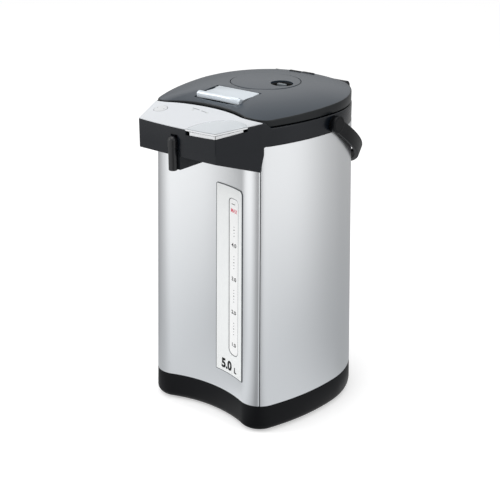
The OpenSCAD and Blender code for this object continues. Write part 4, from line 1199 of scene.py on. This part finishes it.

# ---- Lid ----
# A domed moulding in satin dark grey; its rim is painted near-black, as painted shade on its side band. Under
# it a pale liner carries the gasket that seals the mouth, and the steam leaves through slits near the hinge.
lid_z = 355.3
dome_z = 375.4
lid_edge = rim_z


def edge_z(x, y):
    return lid_edge + 0.03 * (y + front_depth) + (crown(x) if y < 0 else 0)


def dome_ring(rho, off=-1.5, drop=0.0):
    points = []
    for x, y in outline(off):
        x, y = x * lid_share, y * lid_share
        e = edge_z(x, y)
        points.append((x * rho, y * rho, e + (dome_z - e) * (1 - rho ** 3.5) - drop))
    return points


def rim_ring(off, drop):
    plan = [(x * lid_share, y * lid_share) for x, y in outline(off)]
    return [(x, y, edge_z(x, y) - drop) for x, y in plan]


def ear_notch():
    """Room for the hinge ears at the back."""
    return box_tool((-ear_out - 0.5, notch_y, 350), (ear_out + 0.5, 120, 400))


shares = [1, 0.985, 0.96, 0.93, 0.9, 0.86, 0.82, 0.77, 0.72, 0.66, 0.6, 0.54, 0.48, 0.42, 0.36, 0.3]
inner_shares = [0.97, 0.9, 0.8, 0.7, 0.6, 0.45, 0.3]
dome = loft("lid_dome", [rim_ring(-2.7, 2.6), rim_ring(-1.5, 1.2), rim_ring(-1.35, 0.6), rim_ring(-1.6, 0.12)]
            + [dome_ring(r, -1.8) for r in shares[1:]] + [dome_ring(0.3, -1.8, 2.4)]
            + [dome_ring(r, -2.6, 2.4) for r in inner_shares[-2::-1]], 35, True)
disc_r = 39.4
lever_half = 30.5
lever_y0 = -84.3
lever_y1 = -46.9
notch_y = hinge_y - hinge_r - 2.2
cut(dome, drum_tool(0, 0, disc_r + 0.9, 350, 400, 128),
    box_tool((-lever_half - 0.5, lever_y0 - 2, 350), (lever_half + 0.6, lever_y1 + 0.75, 400)), ear_notch())
lid_grey, start = new_material("lid_grey")
place = start.node("TexCoord", output="Object")
grain = start.node("TexNoise", {}, {"Vector": place, "Scale": 1500.0, "Detail": 3.0})
cloud = start.node("TexNoise", {}, {"Vector": place, "Scale": 14.0, "Detail": 2.0})
close_material(start, {
    "Base Color": between(cloud, shade("222d38"), shade("27333e")),
    "Roughness": grain * 0.08 + 0.29,
    "Specular IOR Level": 0.46,
    "Normal": start.node("Bump", {}, {"Height": grain, "Strength": 0.15, "Distance": 0.0001}),
})
fit(dome, "lid", "lid_grey", lid_grey, "lid_shell")

# Near-black for the rim and the louvres: painted shade of the lid's side band and of the vent slits.
lid_shade_black = plastic("lid_shade_black", "101417", 0.35, 0.25)
rim = loft("lid_rim", [level(lid_z, -1.1, lid_share), level(lid_z + 0.25, -0.6, lid_share),
                       level(lid_z + 0.8, -0.3, lid_share), rim_ring(-0.3, 1.3), rim_ring(-0.45, 0.6),
                       rim_ring(-0.9, 0.15), rim_ring(-1.3, 0.1), rim_ring(-1.35, 0.9), rim_ring(-2.7, 3.0),
                       level(lid_z, -2.7, lid_share)])
cut(rim, ear_notch(), bolt_hole())
fit(rim, "lid", "lid_grey", lid_shade_black, "lid_shell")
hinge_grey = plastic("hinge_grey", "272b2f", 0.4)
dress("lid_hinge", hinge_grey)
liner_plastic = plastic("liner_plastic", "c9c6bd", 0.45, vary=0.05)
dress("lid_liner", liner_plastic)
for node in ("pump_sleeve", "steam_vent"):
    dress(node, tray_black)


def dome_height(x, y):
    """Height of the dome over its round rear half."""
    reach = Vector((x, y)).length
    edge = edge_z(0, y / reach * (half_w - 1.8) * lid_share)
    return edge + (dome_z - edge) * (1 - (reach / ((half_w - 1.8) * lid_share)) ** 3.5)


# Two raised louvres over the steam vent, painted near-black as the shade in its slits
for i, (x, y) in enumerate(((-16.4, 67), (0.4, 69.6))):
    plan = [(x, y - 1.8), (x + 16.2, y - 1.8), (x + 16.2, y + 1.8), (x, y + 1.8)]
    slat = prism(f"vent_louvre_{i + 1}", plan, dome_height(x, y + 1.8) - 1.5, dome_height(x + 8, y) + 1.2)
    soften(slat, 0.7)
    fit(slat, "lid", "lid_grey", lid_shade_black, "lid_shell")

# The well in which the latch lever lies
tray = prism("lever_tray", [(-86.4, 345.7), (-86.4, 367.6), (-66, 371), (-43.6, 372.4), (-43.6, 345.7)],
             -32.6, 32.6, lay_x)
cut(tray, box_tool((-31.4, -85.2, 347.2), (31.4, -44.8, 400)), bolt_hole(356.8, 360.2))
fit(tray, "lid", "lid_grey", tray_black, "lever_tray")

# ---- Latch ----
# A silver lever with a thick rolled lip lies in a pocket of the lid. Lifting it draws the bolt out
# of the neck ring.
lip_z = 376
rear_z = 374.7
lip_y = -81.2
lever_plan = [(lever_y1, rear_z - 0.4), (lever_y1 - 0.3, rear_z - 0.1), (lever_y1 - 0.8, rear_z),
              (-58, rear_z - 1.6), (-68, lip_z - 2.9), (-73, lip_z - 3.35)]
lever_plan += [(-75.2 + 1.4 * sin(t), lip_z - 4.7 + 1.5 * cos(t)) for t in (0.0, -0.25)]
lever_plan += [(-77.0, lip_z - 2.6), (-77.7, lip_z - 1.9)]
lever_plan += arc(lip_y, lip_z - 3.1, 3.1, radians(25), pi, 14, True)
lever_plan += [(lever_y0 + 0.2, lip_z - 4.4), (lever_y0 + 0.9, lip_z - 5.2), (-82, lip_z - 5.6),
               (-76, lip_z - 6), (-60, rear_z - 5.4), (-53, rear_z - 7), (-50, rear_z - 7.4),
               (-47.6, rear_z - 6.4), (lever_y1, rear_z - 4)]
lip_plan = (arc(lip_y + 0.3, lip_z - 2.8, 2.8, 0, pi / 2, 10, True)
            + arc(lip_y - 0.5, lip_z - 2.6, 2.6, pi / 2, pi, 10, True)
            + arc(lip_y - 2.3, 369.8, 0.8, pi, pi * 1.5, 5, True)
            + arc(lip_y + 2, 370.1, 1.1, pi * 1.5, pi * 2, 5, True))


def bowed(x, y, z):
    """Across the pot, with both ends drawn down a little."""
    return (z, x, y - 1.1 * (z / lever_half) ** 2)


levers = [prism("latch_lever", lever_plan, 2.2 - lever_half, lever_half - 2.2, lay_x),
          prism("lever_lip", lip_plan, 1.3 - lever_half, lever_half, bowed, 16)]
lever_silver = grained("lever_silver", "cdd5dc", "dce3e9", 1.0, 2.0, (0.08, 0.28), (0.05, 0.00005),
                       (60, 2200, 2200), more={"Metallic": 0.55})
for lever in levers:
    soften(lever, 0.5, 50)
    fit(lever, "latch_lever", "lever_silver", lever_silver, "latch_lever")

# ---- Manual pump ----
# The press disc sinks into the lid and squeezes the bellows. A knob in it, turned by its finger
# bar, locks it.
drum_z = 364.5
knob_x = 23
knob_r = 12.4
disc_z = 376.6
disc_profile = [(0.02, drum_z), (disc_r - 1.5, drum_z), (disc_r, drum_z + 1.5), (disc_r, disc_z - 1.6),
                (disc_r - 0.2, disc_z - 1.35), (disc_r - 0.6, disc_z - 1.22)]
disc_profile += [(r, disc_z - 1.3 * (r / 40) ** 2) for r in (38, 35, 30, 25, 20, 15, 10, 5, 0.02)]
disc = lathe("press_disc", disc_profile, 128, (0, 0), 35, False)
cut(disc, drum_tool(knob_x, 0, knob_r + 0.3, drum_z + 3.4, 400))
fit(disc, "press_disc", "disc_grey", lid_grey, "press_disc")

knob_low = drum_z + 3.5
knob_top = disc_z - 1.9
knob = lathe("lock_knob", [
    (0.02, knob_low), (knob_r, knob_low), (knob_r, knob_top - 0.5), (knob_r - 0.2, knob_top - 0.1),
    (knob_r - 0.6, knob_top), (knob_r - 0.9, knob_top - 0.2), (knob_r - 1.2, knob_top - 0.8),
    (knob_r - 1.2, knob_low + 1.8), (0.02, knob_low + 1.8)], 96, (knob_x, 0), 35, False)
fit(knob, "lock_knob", "knob_dark", tray_black, "lock_knob")
bar_grey = plastic("bar_grey", "6f767b", 0.35)
bar = prism("knob_bar", [(knob_x + 5.6 * a, 1.9 * b) for a, b in square], knob_low + 1, disc_z - 0.9)
soften(bar, 0.7)
fit(bar, "lock_knob", "knob_dark", bar_grey, "lock_knob")
stem = lathe("knob_stem", [
    (0.02, drum_z + 0.2), (4, drum_z + 0.2), (4, knob_low + 0.5), (0.02, knob_low + 0.5)],
             48, (knob_x, 0), 35, False)
fit(stem, "lock_knob", "knob_dark", tray_black, "lock_knob")
bellows_z = 345.6
fold = (drum_z - bellows_z) / 3
folds = [(25 + 5 * (i % 2), bellows_z + fold * i / 2) for i in range(7)]
bellows = lathe("bellows", folds + [(r - 1.3, z) for r, z in reversed(folds)])
fit(bellows, "lid", "silicone", silicone, "bellows")
bellows_spring = coil("bellows_spring", 0, 0, 16, 0.9, bellows_z, drum_z)
fit(bellows_spring, "lid", "spring_steel", spring_steel, "bellows_spring")
for soft in (bellows, bellows_spring):
    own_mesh(soft)

# ---- Handle ----
# A flat black bail of hollow section turns on the ring's bosses and hangs behind the body. Round
# caps hold its eyes on.
bail_half = 102
bail_reach = 134.6
bail_arm = 20
strap = 15
droop = radians(34.5)
handle_black = plastic("handle_black", "0a0c0f", 0.38, 0.16)


def bail_place(turn):
    return (bail_half * cos(turn), bail_arm + (bail_reach - bail_arm) * sin(turn))


def bail_out(turn):
    v = Vector(((bail_reach - bail_arm) * cos(turn), bail_half * sin(turn)))
    return v.normalized()


def in_droop(x, y, z):
    """From the bail's own level to where it hangs."""
    return (x, pivot_y + y * cos(droop) + z * sin(droop), pivot_z - y * sin(droop) + z * cos(droop))


w = strap / 2
strap_section = [(2.4, -w + 1.4), (2.4, w - 1.4), (2.2, w - 0.8), (1.8, w - 0.25), (1.2, w), (-2.0, w),
                 (-2.4, w - 0.4), (-2.4, w - 1.6), (-2.0, w - 2), (-0.4, w - 2), (0, w - 2.4),
                 (0, -w + 2.4), (-0.4, -w + 2),
                 (-2.0, -w + 2), (-2.4, -w + 1.6), (-2.4, -w + 0.4), (-2.0, -w), (1.2, -w), (1.8, -w + 0.25),
                 (2.2, -w + 0.8)]
bail_rings = []
for step in range(-1, 74):
    turn = pi * min(max(step, 0), 72) / 72
    px, py = bail_place(turn)
    if step in (-1, 73):
        py = 5
    out = bail_out(turn)
    bail_rings.append([in_droop(px + out.x * q, py + out.y * q, h) for q, h in strap_section])
bail = loft("handle", [ring[::-1] for ring in bail_rings], 35, False, (True, True))
fit(bail, "handle", "handle_black", handle_black, "handle")
for side in (1, -1):
    name = "right" if side > 0 else "left"
    eye = turned_x(f"handle_eye_{name}", [(r, side * along) for r, along in (
        (4.1, 99.5), (9.0, 99.5), (9.4, 99.7), (9.6, 100.2), (9.6, 103.9), (9.4, 104.4),
        (9.0, 104.55), (7.8, 104.55), (7.8, 102.5), (4.1, 102.5))], pivot_y, pivot_z)
    fit(eye, "handle", "handle_black", handle_black, "handle")
dress("handle_caps", handle_black)
